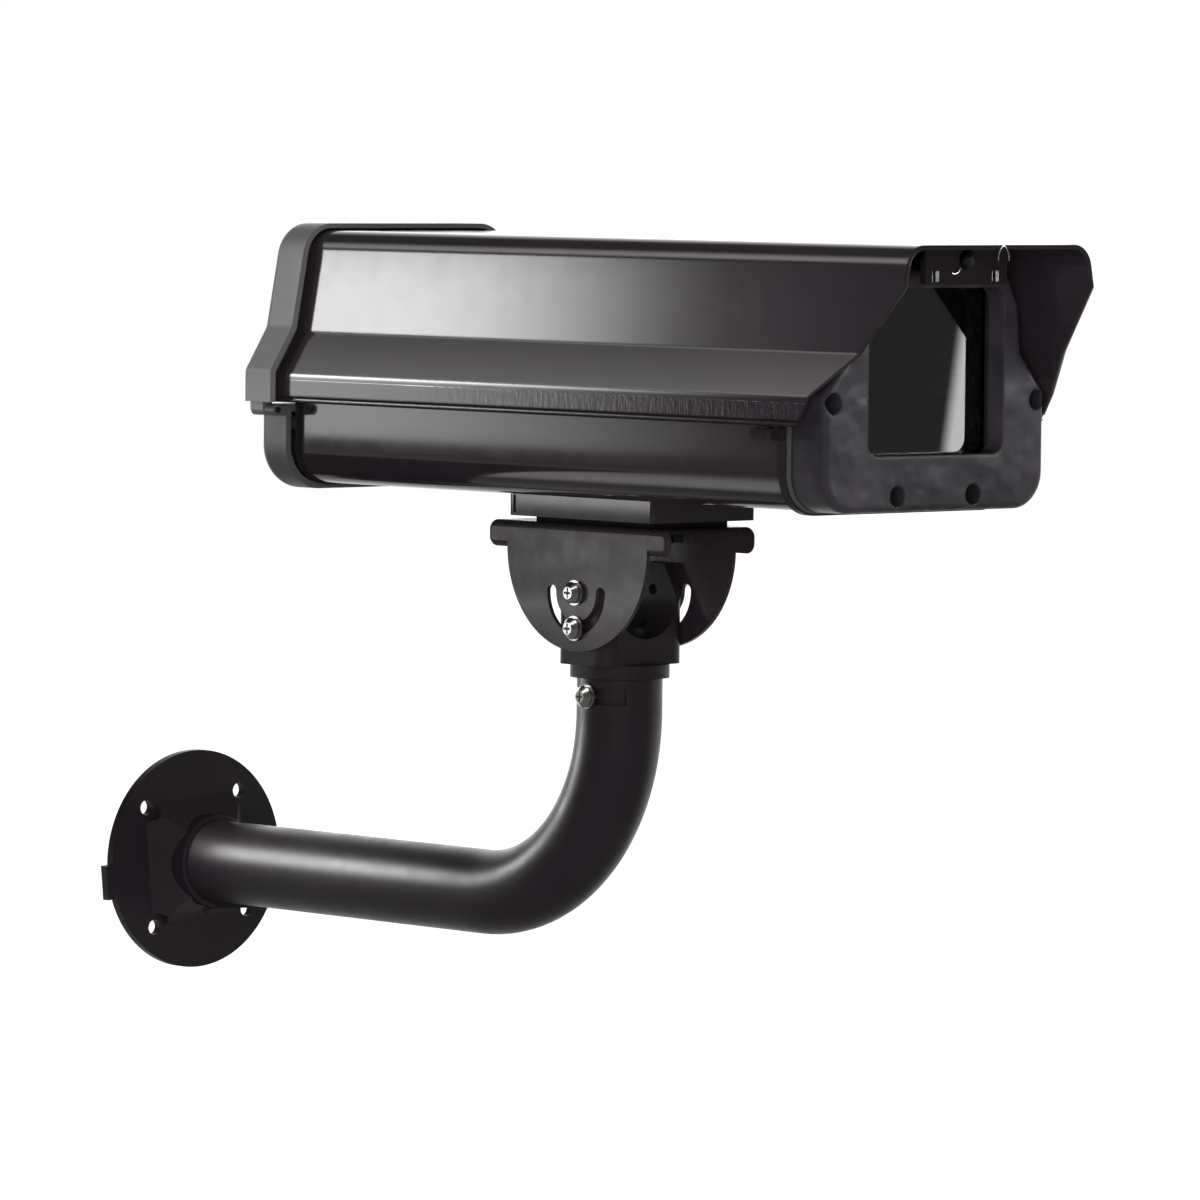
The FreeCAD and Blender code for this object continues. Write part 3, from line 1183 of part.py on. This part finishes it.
def make_visor_strip():
    """a folded bracket that hangs from the roof in front of the bezel's top edge"""
    strip = on_pivot(Piece("visor_strip"))
    half, front, thick = s.strip_half, s.strip_front, s.strip_thick
    top = s.roof_z - s.cover_wall
    low = s.strip_low
    strip.add("XZ", oblong(-half, low, half, top), front - thick, front)
    strip.add("XZ", oblong(-half, top - thick, half, top), front - s.strip_deep, front)
    for side in (-1, 1):
        wing = oblong(half * side, low + 0.6, (half - thick) * side, s.wing_high)
        strip.add("XZ", wing, front - s.strip_wing, front)
    boss = circle(0, s.strip_screw_z, s.strip_boss_dia / 2)
    strip.add("XZ", boss, front - s.strip_boss_long, front)
    tap = circle(0, s.strip_screw_z, s.bezel_screw_dia / 2 + s.fit_gap)
    strip.cut("XZ", tap, front - s.strip_boss_long, front)
    wide, high = s.clip_wide / 2, s.clip_high / 2
    slots = [oblong(x - wide, s.clip_z - high, x + wide, s.clip_z + high)
             for x in (-s.clip_x, s.clip_x)]
    strip.cut("XZ", both(*slots), front - thick, front)
    button, rise = s.strip_button_dia / 2, s.strip_button_high
    screw = Piece("strip_screw_one", kept=False)
    thread = s.bezel_screw_dia / 2
    screw.turn([(0, -s.strip_boss_long), (thread, -s.strip_boss_long), (thread, 0), (button, 0),
                (button * 0.94, rise * 0.45), (button * 0.68, rise * 0.82), (0, rise)])
    face = pivot_y - front
    group("strip_screw", screw, [(0, face, pivot_z + s.strip_screw_z)], HEAD_FRONT)
    clip = Piece("strip_clip_one", kept=False)
    wide, high, thin = wide - SLIDE, high - SLIDE, thick / 2
    clip.add("XZ", oblong(-wide, -high, wide, high), -thick - thin, -thin / 2)
    clip.cut("XZ", oblong(-wide + thin, -high, 0, high), -thick, -thin / 2)
    places = [(x, face, pivot_z + s.clip_z) for x in (-s.clip_x, s.clip_x)]
    group("strip_clips", clip, places)
    make_strip_hook(face)


def make_strip_hook(face):
    """a bent wire end on the strip, beside its screw"""
    hook = Piece("strip_hook")
    ring = s.hook_radius
    start, end = math.radians(-113), math.radians(-20)

    def route(sketch):
        bend = Part.Circle(flat(0, 0), Vector(0, 0, 1), ring.value)
        sketch.addGeometry(Part.ArcOfCircle(bend, start, end), False)
        radius_rule(sketch, 0, ring)
        hold(sketch, 0, 3, 0, 0)
        for point, turn in ((1, start), (2, end)):
            place = ring * round(math.cos(turn), 6)
            index = sketch.addConstraint(
                Sketcher.Constraint("DistanceX", -1, 1, 0, point, place.value))
            sketch.setExpression("Constraints[%d]" % index, place.text)
    foot = ring * round(math.sin(end), 6)
    profile = hook.sketch("XY", circle(ring * round(math.cos(end), 6), 0, s.hook_dia / 2), foot)
    spine = hook.sketch("XZ", route)
    hook.feature("AdditivePipe", Profile=profile, Spine=(spine, []))
    hook.settle(True)
    out = s.hook_dia / 2 + s.fit_gap
    seat(hook.body, s.hook_x, face - out, pivot_z + s.hook_z)


def make_wire_clip():
    """a wishbone of wire, open below, on the front edge of the visor"""
    clip = Piece("wire_clip")
    tip, bow = s.wire_tip, s.wire_bow
    slant, rise = 0.5, round(math.sqrt(0.75), 6)
    centre = (bow - tip) * slant
    level = -tip - (bow - tip) * rise
    foot = -s.wire_high
    drop = foot - level
    width = math.sqrt(bow.value ** 2 - drop.value ** 2)

    def route(sketch):
        crown = Part.Circle(flat(0, -tip), Vector(0, 0, 1), tip.value)
        sketch.addGeometry(Part.ArcOfCircle(crown, math.pi / 3, 2 * math.pi / 3), False)
        low = math.asin(drop.value / bow.value)
        ring = Part.Circle(flat(-centre, level), Vector(0, 0, 1), bow.value)
        sketch.addGeometry(Part.ArcOfCircle(ring, low, math.pi / 3), False)
        ring = Part.Circle(flat(centre, level), Vector(0, 0, 1), bow.value)
        sketch.addGeometry(Part.ArcOfCircle(ring, 2 * math.pi / 3, math.pi - low), False)
        radius_rule(sketch, 0, tip)
        hold(sketch, 0, 3, 0, -tip)
        hold(sketch, 1, 3, -centre, level)
        hold(sketch, 2, 3, centre, level)
        rules = ((0, 1, "DistanceX", tip * slant), (0, 2, "DistanceX", -(tip * slant)),
                 (1, 1, "DistanceY", foot), (2, 2, "DistanceY", foot))
        for arc, point, kind, size in rules:
            index = sketch.addConstraint(Sketcher.Constraint(kind, -1, 1, arc, point, size.value))
            sketch.setExpression("Constraints[%d]" % index, size.text)
        sketch.addConstraint(Sketcher.Constraint("Coincident", 1, 2, 0, 1))
        sketch.addConstraint(Sketcher.Constraint("Coincident", 2, 1, 0, 2))
    profile = clip.sketch("XY", circle(width - centre.value, 0, s.wire_dia / 2), foot)
    spine = clip.sketch("XZ", route)
    clip.feature("AdditivePipe", Profile=profile, Spine=(spine, []))
    clip.settle(True)
    top = s.roof_z - s.cover_wall + s.wire_drop
    face = pivot_y - s.visor_front - s.wire_gap - s.wire_dia / 2
    seat(clip.body, s.wire_x, face, pivot_z + top - s.wire_dia / 2)
    return clip


def write_parts():
    """check every object, then write each sub-part to its own file"""
    doc.recompute()
    failed = [item.Name for item in doc.Objects
              if any(word in item.State for word in ("Invalid", "Error"))]
    if failed:
        raise ValueError("failed objects: " + ", ".join(failed))
    for item in PARTS:
        if item.Shape.isNull() or not item.Shape.isValid():
            raise ValueError("bad shape: " + item.Label)
    os.makedirs("parts", exist_ok=True)
    for item in PARTS:
        item.Shape.exportStep("parts/%s.step" % item.Label)


def main():
    make_wall_plate()
    make_arm_tube()
    make_collar_screw()
    make_head()
    make_head_screws()
    make_yoke()
    make_yoke_pad()
    make_rail()
    make_rail_bolts()
    make_housing_body()
    make_rim_seals()
    make_front_flange()
    make_flange_screws()
    make_front_gasket()
    make_bezel()
    make_bezel_screws()
    make_window()
    make_rear_plate()
    make_low_cap()
    make_rear_fasteners()
    make_cover()
    make_upper_cap()
    make_cap_seal()
    make_cover_fasteners()
    make_screw_lugs()
    make_hinge()
    make_tray()
    make_clamp_screws()
    make_visor_strip()
    make_wire_clip()
    write_parts()


main()
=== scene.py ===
"""Looks of the security camera housing: studio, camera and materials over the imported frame."""
import math

import bpy
from mathutils import Matrix, Vector


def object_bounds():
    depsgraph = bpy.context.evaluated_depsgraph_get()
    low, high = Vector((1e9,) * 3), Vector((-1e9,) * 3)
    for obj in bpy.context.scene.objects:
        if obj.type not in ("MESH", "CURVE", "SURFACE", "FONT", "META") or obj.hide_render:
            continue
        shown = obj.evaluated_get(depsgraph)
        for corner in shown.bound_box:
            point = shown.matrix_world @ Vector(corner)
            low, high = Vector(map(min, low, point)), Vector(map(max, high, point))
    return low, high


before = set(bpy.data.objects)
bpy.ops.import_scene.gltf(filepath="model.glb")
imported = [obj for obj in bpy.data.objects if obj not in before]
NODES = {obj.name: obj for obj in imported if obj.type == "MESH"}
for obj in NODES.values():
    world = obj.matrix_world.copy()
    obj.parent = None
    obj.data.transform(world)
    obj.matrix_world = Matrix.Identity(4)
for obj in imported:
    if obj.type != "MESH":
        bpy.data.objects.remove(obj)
cad_low, cad_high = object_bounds()
MM = 0.001

# Camera: azimuth and elevation of the photograph, roll, distance and the point it is aimed at.
VIEW_AZIMUTH = math.radians(-43.03)
VIEW_ELEVATION = math.radians(3.36)
VIEW_ROLL = math.radians(0.62)
VIEW_DISTANCE = 3.72413
VIEW_TARGET = Vector((0.12401, -0.146295, 0.12454))
VIEW_LENS = 240.02
SENSOR = 36.0


def towards(azimuth, elevation):
    """unit vector from the object towards a viewer"""
    level = math.cos(elevation)
    return Vector((math.sin(azimuth) * level, -math.cos(azimuth) * level, math.sin(elevation)))


def make_camera():
    back = towards(VIEW_AZIMUTH, VIEW_ELEVATION)
    right = Vector((0, 0, 1)).cross(back).normalized()
    up = back.cross(right)
    turned_right = right * math.cos(VIEW_ROLL) + up * math.sin(VIEW_ROLL)
    turned_up = up * math.cos(VIEW_ROLL) - right * math.sin(VIEW_ROLL)
    camera = bpy.data.objects.new("camera", bpy.data.cameras.new("camera"))
    bpy.context.scene.collection.objects.link(camera)
    camera.data.lens = VIEW_LENS
    camera.data.sensor_width = SENSOR
    camera.data.clip_end = 100
    axes = Matrix((turned_right, turned_up, back)).transposed().to_4x4()
    camera.matrix_world = Matrix.Translation(VIEW_TARGET + back * VIEW_DISTANCE) @ axes
    bpy.context.scene.camera = camera


class Shader:
    """a small helper that adds and joins nodes in one node tree"""

    def __init__(self, tree):
        self.tree = tree
        self.tree.nodes.clear()

    def node(self, kind, inputs=None, **settings):
        node = self.tree.nodes.new(kind)
        for name, value in settings.items():
            setattr(node, name, value)
        for name, value in (inputs or {}).items():
            if isinstance(value, bpy.types.NodeSocket):
                self.tree.links.new(value, node.inputs[name])
            else:
                node.inputs[name].default_value = value
        return node

    def place(self, stretch=(1, 1, 1)):
        """coordinates in metres in the object's own frame, stretched along its axes"""
        source = self.node("ShaderNodeTexCoord").outputs["Object"]
        inputs = {"Vector": source, "Scale": stretch}
        return self.node("ShaderNodeMapping", inputs).outputs["Vector"]

    def noise(self, vector, per_metre, detail=3.0, roughness=0.5):
        inputs = {"Vector": vector, "Scale": per_metre, "Detail": detail, "Roughness": roughness}
        return self.node("ShaderNodeTexNoise", inputs).outputs["Fac"]

    def between(self, factor, low, high, start=0.3, end=0.7):
        inputs = {"Value": factor, "From Min": start, "From Max": end, "To Min": low, "To Max": high}
        return self.node("ShaderNodeMapRange", inputs).outputs["Result"]

    def mix(self, factor, first, second):
        node = self.node("ShaderNodeMix", data_type="RGBA")
        for index, value in ((0, factor), (6, first), (7, second)):
            if isinstance(value, bpy.types.NodeSocket):
                self.tree.links.new(value, node.inputs[index])
            else:
                node.inputs[index].default_value = value
        return node.outputs[2]

    def bump(self, height, depth, under=None):
        inputs = {"Height": height, "Strength": 1.0, "Distance": depth}
        if under is not None:
            inputs["Normal"] = under
        return self.node("ShaderNodeBump", inputs).outputs["Normal"]


def material(name):
    made = bpy.data.materials.new(name)
    made.use_nodes = True
    return made, Shader(made.node_tree)


def shade(colour, factor):
    return tuple(channel * factor for channel in colour) + (1.0,)


def surface(name, colour, roughness, tone=0.15, blotch=14.0, grain=900.0, depth=0.00001,
            spread=0.05, metallic=0.0, stretch=(1, 1, 1), specular=0.5, edge=0.0, relief=None,
            shadow=None, dark=None):
    """painted, moulded or metal surface: broad shifts of tone, uneven gloss and a fine grain

    edge is the radius to which the light sees the edges rounded; relief adds to the bumps, and
    shadow tells where shade is painted on: there the surface stays dull, in the colour dark
    """
    made, shader = material(name)
    place = shader.place(stretch)
    broad = shader.noise(place, blotch, 4.0)
    fine = shader.noise(place, grain, 2.0)
    colour_shift = shader.mix(shader.between(broad, 0.0, 1.0), shade(colour, 1 - tone),
                              shade(colour, 1 + tone))
    gloss = shader.noise(place, blotch * 6, 5.0, 0.6)
    rounded = shader.node("ShaderNodeBevel", {"Radius": edge}, samples=4).outputs[0] if edge else None
    normal = shader.bump(fine, depth, rounded)
    if relief:
        normal = relief(shader, normal)
    looks = shader.node("ShaderNodeBsdfPrincipled", {
        "Base Color": colour_shift, "Metallic": metallic, "Specular IOR Level": specular,
        "Roughness": shader.between(gloss, roughness - spread, roughness + spread),
        "Normal": normal}).outputs["BSDF"]
    # painted shade: where shadow is 1, the surface turns into a dull diffuse coat in a darker colour
    if shadow:
        dull = shader.node("ShaderNodeBsdfDiffuse", {"Color": dark or shade(colour, 0.8)})
        looks = shader.node("ShaderNodeMixShader", {
            0: shadow(shader), 1: looks, 2: dull.outputs[0]}).outputs[0]
    shader.node("ShaderNodeOutputMaterial", {"Surface": looks})
    return made


# Heights on the cover's lip, from the wall plate's axis: its lower edge, the small bead in the
# groove above it, the top of the groove and the top of the lip; and how far out its face lies.
LIP_LOW, BEAD_LOW, BEAD_HIGH, GROOVE_TOP, LIP_TOP, LIP_OUT = 0.2194, 0.2208, 0.2214, 0.2226, 0.2300, 0.0725


def on_lip(shader, low, high):
    """1 on the lip's outer faces between two heights, 0 elsewhere"""
    place = shader.node("ShaderNodeSeparateXYZ", {"Vector": shader.place()}).outputs
    out = shader.node("ShaderNodeMath", {0: place["X"]}, operation="ABSOLUTE").outputs[0]
    soft = 0.0002
    masks = (shader.between(out, 0.0, 1.0, LIP_OUT - soft, LIP_OUT),
             shader.between(place["Z"], 0.0, 1.0, low, low + soft),
             shader.between(place["Z"], 1.0, 0.0, high - soft, high))
    mask = 1.0
    for part in masks:
        mask = shader.node("ShaderNodeMath", {0: mask, 1: part}, operation="MULTIPLY").outputs[0]
    return mask


def lip_relief(shader, normal):
    """upright wrinkles in the coat of the lip"""
    wrinkles = shader.noise(shader.place((1, 1, 0.3)), 420.0, 3.0, 0.6)
    height = shader.node("ShaderNodeMath", {0: wrinkles, 1: on_lip(shader, GROOVE_TOP, LIP_TOP)},
                         operation="MULTIPLY").outputs[0]
    along = shader.node("ShaderNodeSeparateXYZ", {"Vector": shader.place()}).outputs["Y"]
    height = shader.node("ShaderNodeMath", {0: height, 1: shader.between(along, 1.0, 0.1, -0.31, -0.22)},
                         operation="MULTIPLY").outputs[0]
    return shader.bump(height, 0.0003, normal)


def lip_painted_shade(shader):
    """painted shade along the lip's lower edge: the groove on both sides of its bead turns dull and dark"""
    under, over = on_lip(shader, LIP_LOW, BEAD_LOW), on_lip(shader, BEAD_HIGH, GROOVE_TOP)
    return shader.node("ShaderNodeMath", {0: under, 1: over}, operation="ADD").outputs[0]


def painted_shade_between_ears(shader):
    """1 on what lies between the yoke's two ears, where the screws are painted with shade"""
    place = shader.node("ShaderNodeSeparateXYZ", {"Vector": shader.place()}).outputs
    out = shader.node("ShaderNodeMath", {0: place["X"]}, operation="ABSOLUTE").outputs[0]
    return shader.between(out, 1.0, 0.0, 0.0236, 0.0240)


def window_glass(name):
    """lightly tinted glass with a faint film of dust"""
    made, shader = material(name)
    place = shader.place()
    film = shader.noise(place, 30.0, 5.0, 0.6)
    principled = shader.node("ShaderNodeBsdfPrincipled", {
        "Base Color": shader.mix(film, (0.55, 0.55, 0.57, 1), (0.62, 0.62, 0.64, 1)),
        "Roughness": shader.between(film, 0.0, 0.01), "IOR": 1.5, "Transmission Weight": 1.0})
    shader.node("ShaderNodeOutputMaterial", {"Surface": principled.outputs["BSDF"]})
    return made


BLACK = (0.0245, 0.0182, 0.0230)
DEEP_BLACK = (0.0175, 0.0125, 0.0165)
MATERIALS = {
    "tube": surface("satin_black_tube", DEEP_BLACK, 0.37, depth=0.000004),
    "cast": surface("cast_black", DEEP_BLACK, 0.44, grain=700, depth=0.00002),
    "strip": surface("visor_strip_black", DEEP_BLACK, 0.5, specular=0.3, depth=0.000004),
    "sheet": surface("satin_black_sheet", BLACK, 0.27, grain=1100, depth=0.000001),
    "extrusion": surface("textured_black_extrusion", BLACK, 0.11, grain=1000, depth=0.000002,
                         spread=0.02),
    # the cover's lip carries painted shade: its lower groove turns dull and dark
    "cover": surface("textured_black_cover", BLACK, 0.12, grain=1000, depth=0.000002,
                     spread=0.02, edge=0.0013, relief=lip_relief,
                     shadow=lip_painted_shade),
    "bezel": surface("moulded_black_bezel", (0.033, 0.029, 0.035), 0.36, tone=0.4, blotch=30,
                     grain=45, depth=0.002, edge=0.002),
    "cap": surface("moulded_grey_cap", (0.140, 0.137, 0.138), 0.45, tone=0.06, grain=900,
                   depth=0.00001, specular=0.5),
    "low_cap": surface("moulded_grey_low_cap", (0.080, 0.078, 0.079), 0.45, tone=0.06, grain=900,
                       depth=0.00001),
    "gland": surface("gland_plastic", (0.02, 0.02, 0.02), 0.5, grain=600, depth=0.00002),
    "rubber": surface("seal_rubber", (0.010, 0.010, 0.010), 0.7, grain=500, depth=0.000008),
    "pale": surface("grey_gasket", (0.08, 0.078, 0.08), 0.6, tone=0.08, grain=700, depth=0.00002),
    "steel": surface("polished_stainless", (0.66, 0.65, 0.63), 0.18, tone=0.06, blotch=200,
                     grain=3000, depth=0.000002, spread=0.06, metallic=1.0, stretch=(1, 1, 4)),
    # painted shade: the pivot and lock screws turn near black where they lie between the yoke's ears
    "pivot_steel": surface("stainless_with_painted_shade_between_ears", (0.66, 0.65, 0.63), 0.18, tone=0.06,
                           blotch=200, grain=3000, depth=0.000002, spread=0.06, metallic=1.0,
                           stretch=(1, 1, 4), shadow=painted_shade_between_ears, dark=(0.01, 0.01, 0.01, 1)),
    "clip_steel": surface("dull_clip_steel", (0.22, 0.22, 0.22), 0.5, tone=0.5, blotch=900,
                          grain=3000, depth=0.00001, metallic=1.0),
    "dark_steel": surface("blackened_steel", (0.06, 0.06, 0.06), 0.35, metallic=1.0, grain=2000,
                          depth=0.000003),
    "knob": surface("knob_plastic", (0.02, 0.02, 0.02), 0.35, grain=1200, depth=0.00001),
    "aluminium": surface("mill_aluminium", (0.55, 0.55, 0.56), 0.38, tone=0.05, grain=1500,
                         depth=0.000004, metallic=1.0, stretch=(6, 0.4, 1)),
    "glass": window_glass("window_glass"),
}
WEARS = {
    "tube": ["arm_tube"],
    "cast": ["wall_plate", "head_casting", "front_flange", "front_hinge_ear"],
    "sheet": ["yoke", "screw_lugs", "glass_clamp", "rear_plate"],
    "extrusion": ["housing_body", "mount_rail"],
    "cover": ["cover"],
    "bezel": ["bezel"],
    "cap": ["rear_cap_upper"],
    "low_cap": ["rear_cap_lower"],
    "strip": ["visor_strip"],
    "gland": ["gland_bodies", "gland_lock_nuts", "gland_caps", "gland_plugs"],
    "rubber": ["cap_seal", "rim_seals", "rear_gasket", "glass_front_gasket", "glass_rear_gasket",
               "yoke_pad", "hinge_pins"],
    "pale": ["front_gasket"],
    "pivot_steel": ["tilt_pivot_screws", "tilt_lock_screws"],
    "steel": ["tilt_washers", "pan_lock_screw", "pan_lock_washer", "rail_washers", "rail_bushes", "upper_cap_screws",
              "lower_cap_screws", "flange_screws", "lug_rivets", "camera_screw", "wire_clip",
              "strip_hook"],
    "clip_steel": ["strip_clips"],
    "dark_steel": ["bezel_screws", "strip_screw", "collar_set_screw", "rail_bolts"],
    "knob": ["cover_thumb_screws", "tray_clamp_screws"],
    "aluminium": ["camera_tray"],
    "glass": ["window_glass"],
}


def dress_nodes():
    """give every carried-over node its material"""
    for name, nodes in WEARS.items():
        for node in nodes:
            mesh = NODES[node].data
            mesh.materials.clear()
            mesh.materials.append(MATERIALS[name])


# Studio: a white background, a pale floor, and cards whose reflections shape the black surfaces.
FLOOR_DROP = 0.55
BEHIND = towards(VIEW_AZIMUTH + math.pi, 0)
FILL = 0.35


def make_world():
    world = bpy.data.worlds.new("studio")
    bpy.context.scene.world = world
    world.use_nodes = True
    shader = Shader(world.node_tree)
    rays = shader.node("ShaderNodeLightPath").outputs
    direction = shader.node("ShaderNodeTexCoord").outputs["Generated"]
    aim = shader.node("ShaderNodeVectorMath", {0: direction, 1: BEHIND}, operation="DOT_PRODUCT")
    glow = shader.between(aim.outputs["Value"], 0.08, 2.2, 0.70, 0.97)
    seen = shader.node("ShaderNodeBackground", {"Color": (1, 1, 1, 1), "Strength": 1.0})
    mirrored = shader.node("ShaderNodeBackground", {"Color": (1, 1, 1, 1), "Strength": glow})
    fill = shader.node("ShaderNodeBackground", {"Color": (1, 1, 1, 1), "Strength": FILL})
    soft = shader.node("ShaderNodeMixShader", {
        0: rays["Is Diffuse Ray"], 1: mirrored.outputs[0], 2: fill.outputs[0]})
    full = shader.node("ShaderNodeMixShader", {
        0: rays["Is Camera Ray"], 1: soft.outputs[0], 2: seen.outputs[0]})
    shader.node("ShaderNodeOutputWorld", {"Surface": full.outputs[0]})


def make_floor():
    half = 12.0
    height = cad_low.z - FLOOR_DROP
    mesh = bpy.data.meshes.new("floor")
    corners = [(-half, -half, height), (half, -half, height), (half, half, height), (-half, half, height)]
    mesh.from_pydata(corners, [], [(0, 1, 2, 3)])
    floor = bpy.data.objects.new("floor", mesh)
    bpy.context.scene.collection.objects.link(floor)
    made, shader = material("pale_floor")
    rays = shader.node("ShaderNodeLightPath").outputs
    place = shader.node("ShaderNodeTexCoord").outputs["Object"]
    behind = shader.node("ShaderNodeVectorMath", {0: place, 1: BEHIND}, operation="DOT_PRODUCT")
    pale = shader.node("ShaderNodeBsdfDiffuse", {"Color": (0.6, 0.6, 0.6, 1)})
    glow = shader.node("ShaderNodeEmission", {"Strength": 0.90})
    seen = shader.node("ShaderNodeAddShader", {0: pale.outputs[0], 1: glow.outputs[0]})
    mirrored = shader.node("ShaderNodeEmission", {
        "Strength": shader.between(behind.outputs["Value"], 0.12, 1.0, 0.1, 1.5)})
    choice = shader.node("ShaderNodeMixShader", {
        0: rays["Is Glossy Ray"], 1: pale.outputs[0], 2: mirrored.outputs[0]})
    choice = shader.node("ShaderNodeMixShader", {
        0: rays["Is Camera Ray"], 1: choice.outputs[0], 2: seen.outputs[0]})
    shader.node("ShaderNodeOutputMaterial", {"Surface": choice.outputs[0]})
    mesh.materials.append(made)


def card(name, serves, face, normal, distance, width, height, level, fades=(0, 0, 0, 0),
         slide=(0, 0), lean=0.0):
    """glowing card that only mirror-like rays see, placed where a face mirrors it to the camera

    fades are the soft borders towards rear, front, floor and ceiling, in metres; slide moves the
    card in its own plane, towards the front and the ceiling; lean widens its foot to the rear;
    one of no level is a black flag
    """
    face, normal = Vector(face), Vector(normal).normalized()
    view = (face - VIEW_TARGET - towards(VIEW_AZIMUTH, VIEW_ELEVATION) * VIEW_DISTANCE).normalized()
    way = view.reflect(normal) if distance else normal
    turn = normal.to_track_quat("Z", "Y")
    place = face + way * distance + turn @ Vector((slide[0], slide[1], 0))
    x, y = width / 2, height / 2
    mesh = bpy.data.meshes.new(name)
    mesh.from_pydata([(-x - lean, -y, 0), (x, -y, 0), (x, y, 0), (-x, y, 0)], [], [(0, 1, 2, 3)])
    made = bpy.data.objects.new(name, mesh)
    bpy.context.scene.collection.objects.link(made)
    made.matrix_world = Matrix.Translation(place) @ turn.to_matrix().to_4x4()
    made.visible_camera = made.visible_diffuse = made.visible_shadow = False
    made.visible_transmission = made.visible_volume_scatter = False
    glow, shader = material(name + "_glow")
    across = shader.node("ShaderNodeSeparateXYZ", {
        "Vector": shader.node("ShaderNodeTexCoord").outputs["Object"]}).outputs
    strength = level
    slant = shader.node("ShaderNodeMath", {0: across["Y"], 1: -lean / height, 2: lean / 2},
                        operation="MULTIPLY_ADD").outputs[0]
    rearward = shader.node("ShaderNodeMath", {0: across["X"], 1: slant}, operation="ADD").outputs[0]
    borders = ((rearward, -x, -x + fades[0]), (across["X"], x, x - fades[1]),
               (across["Y"], -y, -y + fades[2]), (across["Y"], y, y - fades[3]))
    for value, edge, full in borders:
        if edge != full:
            step = shader.node("ShaderNodeMapRange", {
                "Value": value, "From Min": edge, "From Max": full}, interpolation_type="SMOOTHSTEP")
            strength = shader.node("ShaderNodeMath", {0: strength, 1: step.outputs["Result"]},
                                   operation="MULTIPLY").outputs[0]
    light = shader.node("ShaderNodeEmission", {"Strength": strength})
    if level:
        clear = shader.node("ShaderNodeBsdfTransparent")
        light = shader.node("ShaderNodeAddShader", {0: light.outputs[0], 1: clear.outputs[0]})
    shader.node("ShaderNodeOutputMaterial", {"Surface": light.outputs[0]})
    mesh.materials.append(glow)
    if serves:
        lit = bpy.data.collections.new(name + "_serves")
        for node in serves:
            lit.objects.link(NODES[node])
        made.light_linking.receiver_collection = lit


def softbox(name, place, aim, width, height, power, spread=math.pi):
    lamp = bpy.data.lights.new(name, "AREA")
    lamp.shape = "RECTANGLE"
    lamp.size = width
    lamp.size_y = height
    lamp.energy = power
    lamp.spread = spread
    box = bpy.data.objects.new(name, lamp)
    bpy.context.scene.collection.objects.link(box)
    box.location = place
    direction = Vector(place) - Vector(aim)
    box.rotation_euler = direction.to_track_quat("Z", "Y").to_euler()
    box.visible_camera = False
    return box


def make_lights():
    housing = Vector((0, -0.30, 0.24))
    over = softbox("overhead", (0.1, -0.2, 1.9), housing, 1.4, 1.4, 5)
    over.visible_glossy = False
    fill = softbox("front_fill", housing + towards(VIEW_AZIMUTH, 0) * 2.5, housing, 1.6, 1.6, 34)
    fill.visible_glossy = False
    upright, ahead = (-1, 0, 0), (0, -1, 0)
    caps = ["rear_cap_upper", "rear_cap_lower"]
    screws = ["tilt_pivot_screws", "tilt_lock_screws", "tilt_washers", "pan_lock_screw",
              "pan_lock_washer"]
    strip_parts = ["wire_clip", "strip_hook", "strip_clips", "strip_screw"]
    card("side_card", ["cover", "rear_cap_upper"] + screws, (-0.070, -0.305, 0.265), (-0.982, 0, 0.188), 0.70, 0.58, 0.14, 13.2,
         (0, 0.254, 0.02, 0.04), (-0.161, -0.008))
    card("side_wash", ["cover"], (-0.070, -0.305, 0.265), (-0.982, 0, 0.188), 0.72, 0.80, 0.14, 0.5,
         (0, 0.20, 0.02, 0.04), (-0.13, -0.008))
    card("lip_card", ["cover", "housing_body"] + caps + screws, (-0.070, -0.305, 0.222), upright, 0.15, 0.53, 0.036, 4.3,
         (0, 0.33, 0.001, 0.003), (-0.090, -0.0007))
    card("fold_card", ["cover"], (-0.0725, -0.305, 0.230), (-0.98, 0, 0.199), 0.047, 0.53, 0.022, 18.0,
         (0, 0.33, 0.002, 0.002), (-0.090, 0))
    card("rail_card", ["mount_rail"] + screws, (-0.031, -0.2925, 0.182), upright, 0.20, 0.16, 0.0125, 4.6,
         (0.01, 0.01, 0.001, 0.002), (0, 0.0016))
    card("yoke_card", ["yoke", "head_casting"] + screws, (-0.027, -0.2925, 0.140), upright, 0.33, 0.30, 0.070, 3.9,
         (0.02, 0.02, 0.05, 0.01))
    card("flare_card", ["cover"] + caps + screws, (-0.069, -0.305, 0.240), (-0.868, 0, 0.496), 0.40, 1.0, 0.16, 2.7,
         (0, 0, 0.02, 0.13), (0, 0.01))
    card("corner_card", ["housing_body", "rear_cap_lower"], (-0.063, -0.305, 0.192), (-0.927, 0, -0.375),
         0.30, 0.90, 0.26, 1.5, (0, 0, 0.12, 0.10))
    card("tube_card", ["arm_tube"] + screws, (-0.018, -0.13, 0.006), (-0.956, 0, 0.292), 0.135, 0.25, 0.093, 14.0,
         (0.02, 0.10, 0.034, 0.034), (-0.005, 0.017))
    card("tube_flag", [], (-0.152, -0.0075, 0.131), (-0.02, 0, 1), 0, 0.38, 0.211, 0)
    card("bezel_card", ["bezel"] + strip_parts, (0, -0.48, 0.24), ahead, 1.0, 0.8, 0.30, 16.5, (0.1, 0.1, 0.1, 0.1), (0, 0.34))
    card("window_haze", ["window_glass"], (0, -0.475, 0.24), ahead, 1.0, 0.5, 0.5, 0.20, (0.1, 0.1, 0.1, 0.1))
    card("window_strip", ["window_glass"], (0.034, -0.475, 0.2425), ahead, 1.0, 0.026, 0.090, 9.0,
         (0.012, 0, 0, 0), (0, -0.006), lean=0.016)


def main():
    bpy.context.scene.view_settings.view_transform = "Standard"
    make_camera()
    make_world()
    make_floor()
    make_lights()
    dress_nodes()


main()
